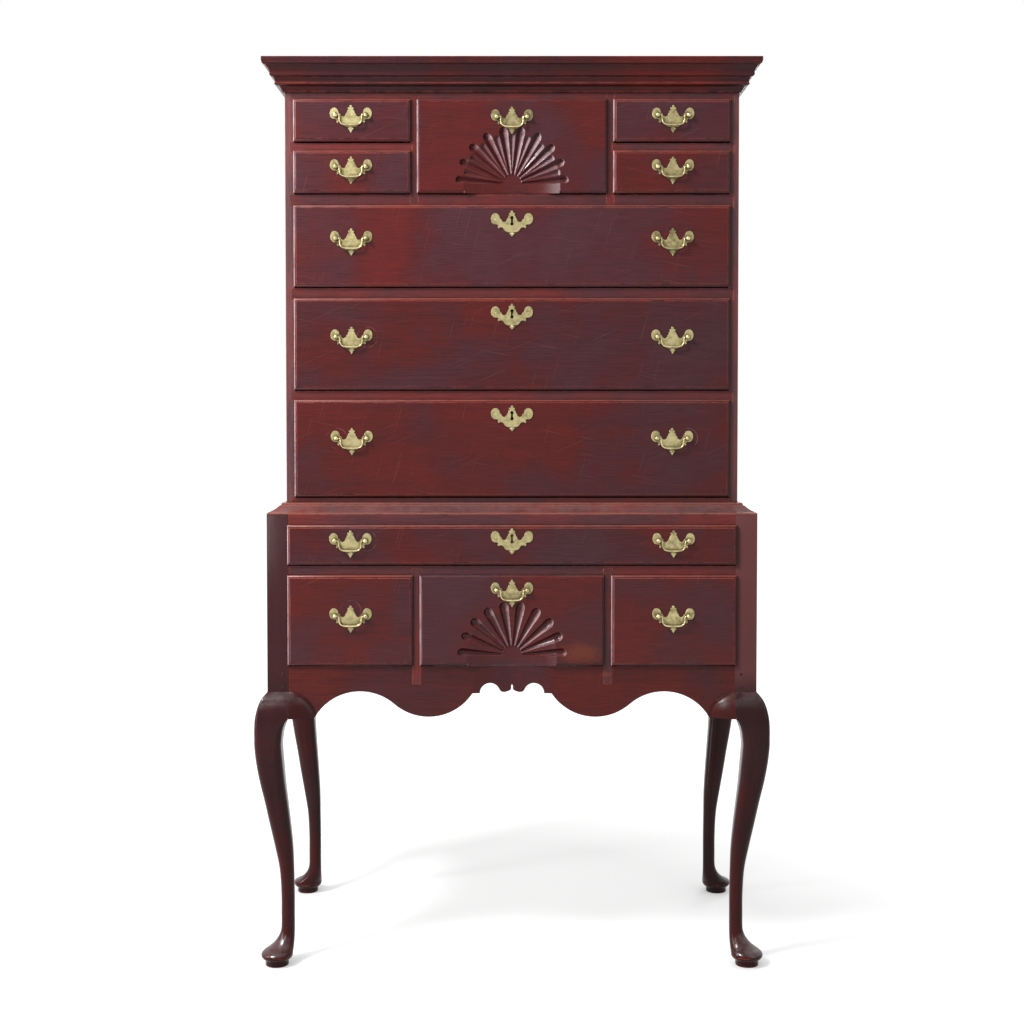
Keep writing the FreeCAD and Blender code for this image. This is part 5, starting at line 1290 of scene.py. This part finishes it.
def make_floor(grey, glow_near, glow_far):
    """A pale floor that keeps its shadows near the feet and fades to white further off, where a painted glow whitens
    the shadows; by the feet the glow is dimmed in corners, a painted contact shadow.
    """
    material = bpy.data.materials.new("pale_floor")
    material.use_nodes = True
    n = Nodes(material.node_tree)
    n.tree.nodes.remove(n.tree.nodes["Principled BSDF"])
    away = n.vector("LENGTH", n.vector("SUBTRACT", n.spot(), (-0.2, -0.15, 0.0)))
    # painted light: the glow grows away from the chest and hides the shadows there
    glow = n.spread(away, 0.8, 1.5, glow_near, glow_far)
    # painted shadow: the glow is dimmed where the floor is hemmed in, round the feet
    glow = n.mul(glow, n.spread(n.open_air(0.12, 6), 0.25, 0.95, 0.5, 1.0))
    plain = n.put("ShaderNodeBsdfDiffuse", {"Color": (grey, grey, grey)})
    shine = n.put("ShaderNodeEmission", {"Color": (1, 1, 1), "Strength": glow})
    both = n.put("ShaderNodeAddShader", {0: plain.outputs[0], 1: shine.outputs[0]})
    mixed = n.put("ShaderNodeMixShader", {0: shown_plain(n), 1: plain.outputs[0], 2: both.outputs[0]})
    n.feed(n.tree.nodes["Material Output"].inputs["Surface"], mixed.outputs[0])
    mesh = bpy.data.meshes.new("floor")
    mesh.from_pydata([(-30, -30, 0), (30, -30, 0), (30, 30, 0), (-30, 30, 0)], [], [(0, 1, 2, 3)])
    mesh.materials.append(material)
    show("floor", mesh)


def make_lamp(name, spot, target, wide, high, power):
    data = bpy.data.lights.new(name, "AREA")
    data.shape = "RECTANGLE"
    data.size, data.size_y = wide, high
    data.energy = power
    lamp = show(name, data)
    lamp.location = spot
    lamp.rotation_euler = (Vector(target) - Vector(spot)).to_track_quat("-Z", "Y").to_euler()


def make_camera():
    data = bpy.data.cameras.new("camera")
    data.lens = 52.93
    data.sensor_width = 36
    data.shift_y = -0.0603
    camera = show("camera", data)
    camera.location = (0.0, -3.245, 1.1353)
    camera.rotation_euler = (math.radians(90 - 1.798), 0, 0)
    bpy.context.scene.camera = camera


make_world(0.2)
make_floor(0.42, 0.68, 1.0)
make_lamp("key", (-2.1, -1.75, 3.5), (0, -0.2, 1.0), 0.75, 0.75, 165)
make_lamp("window", (-1.6, -3.0, 2.2), (0, -0.2, 1.2), 0.8, 1.0, 26)
make_lamp("edge", (-2.7, -0.8, 1.3), (0, -0.2, 1.1), 0.3, 2.2, 42)
make_lamp("fill", (2.6, -2.6, 1.5), (0, -0.2, 1.0), 0.8, 1.4, 8)
make_lamp("behind", (1.6, 3.2, 2.6), (0, 0.2, 1.0), 1.4, 1.4, 40)
make_camera()
bpy.context.scene.view_settings.view_transform = "Standard"
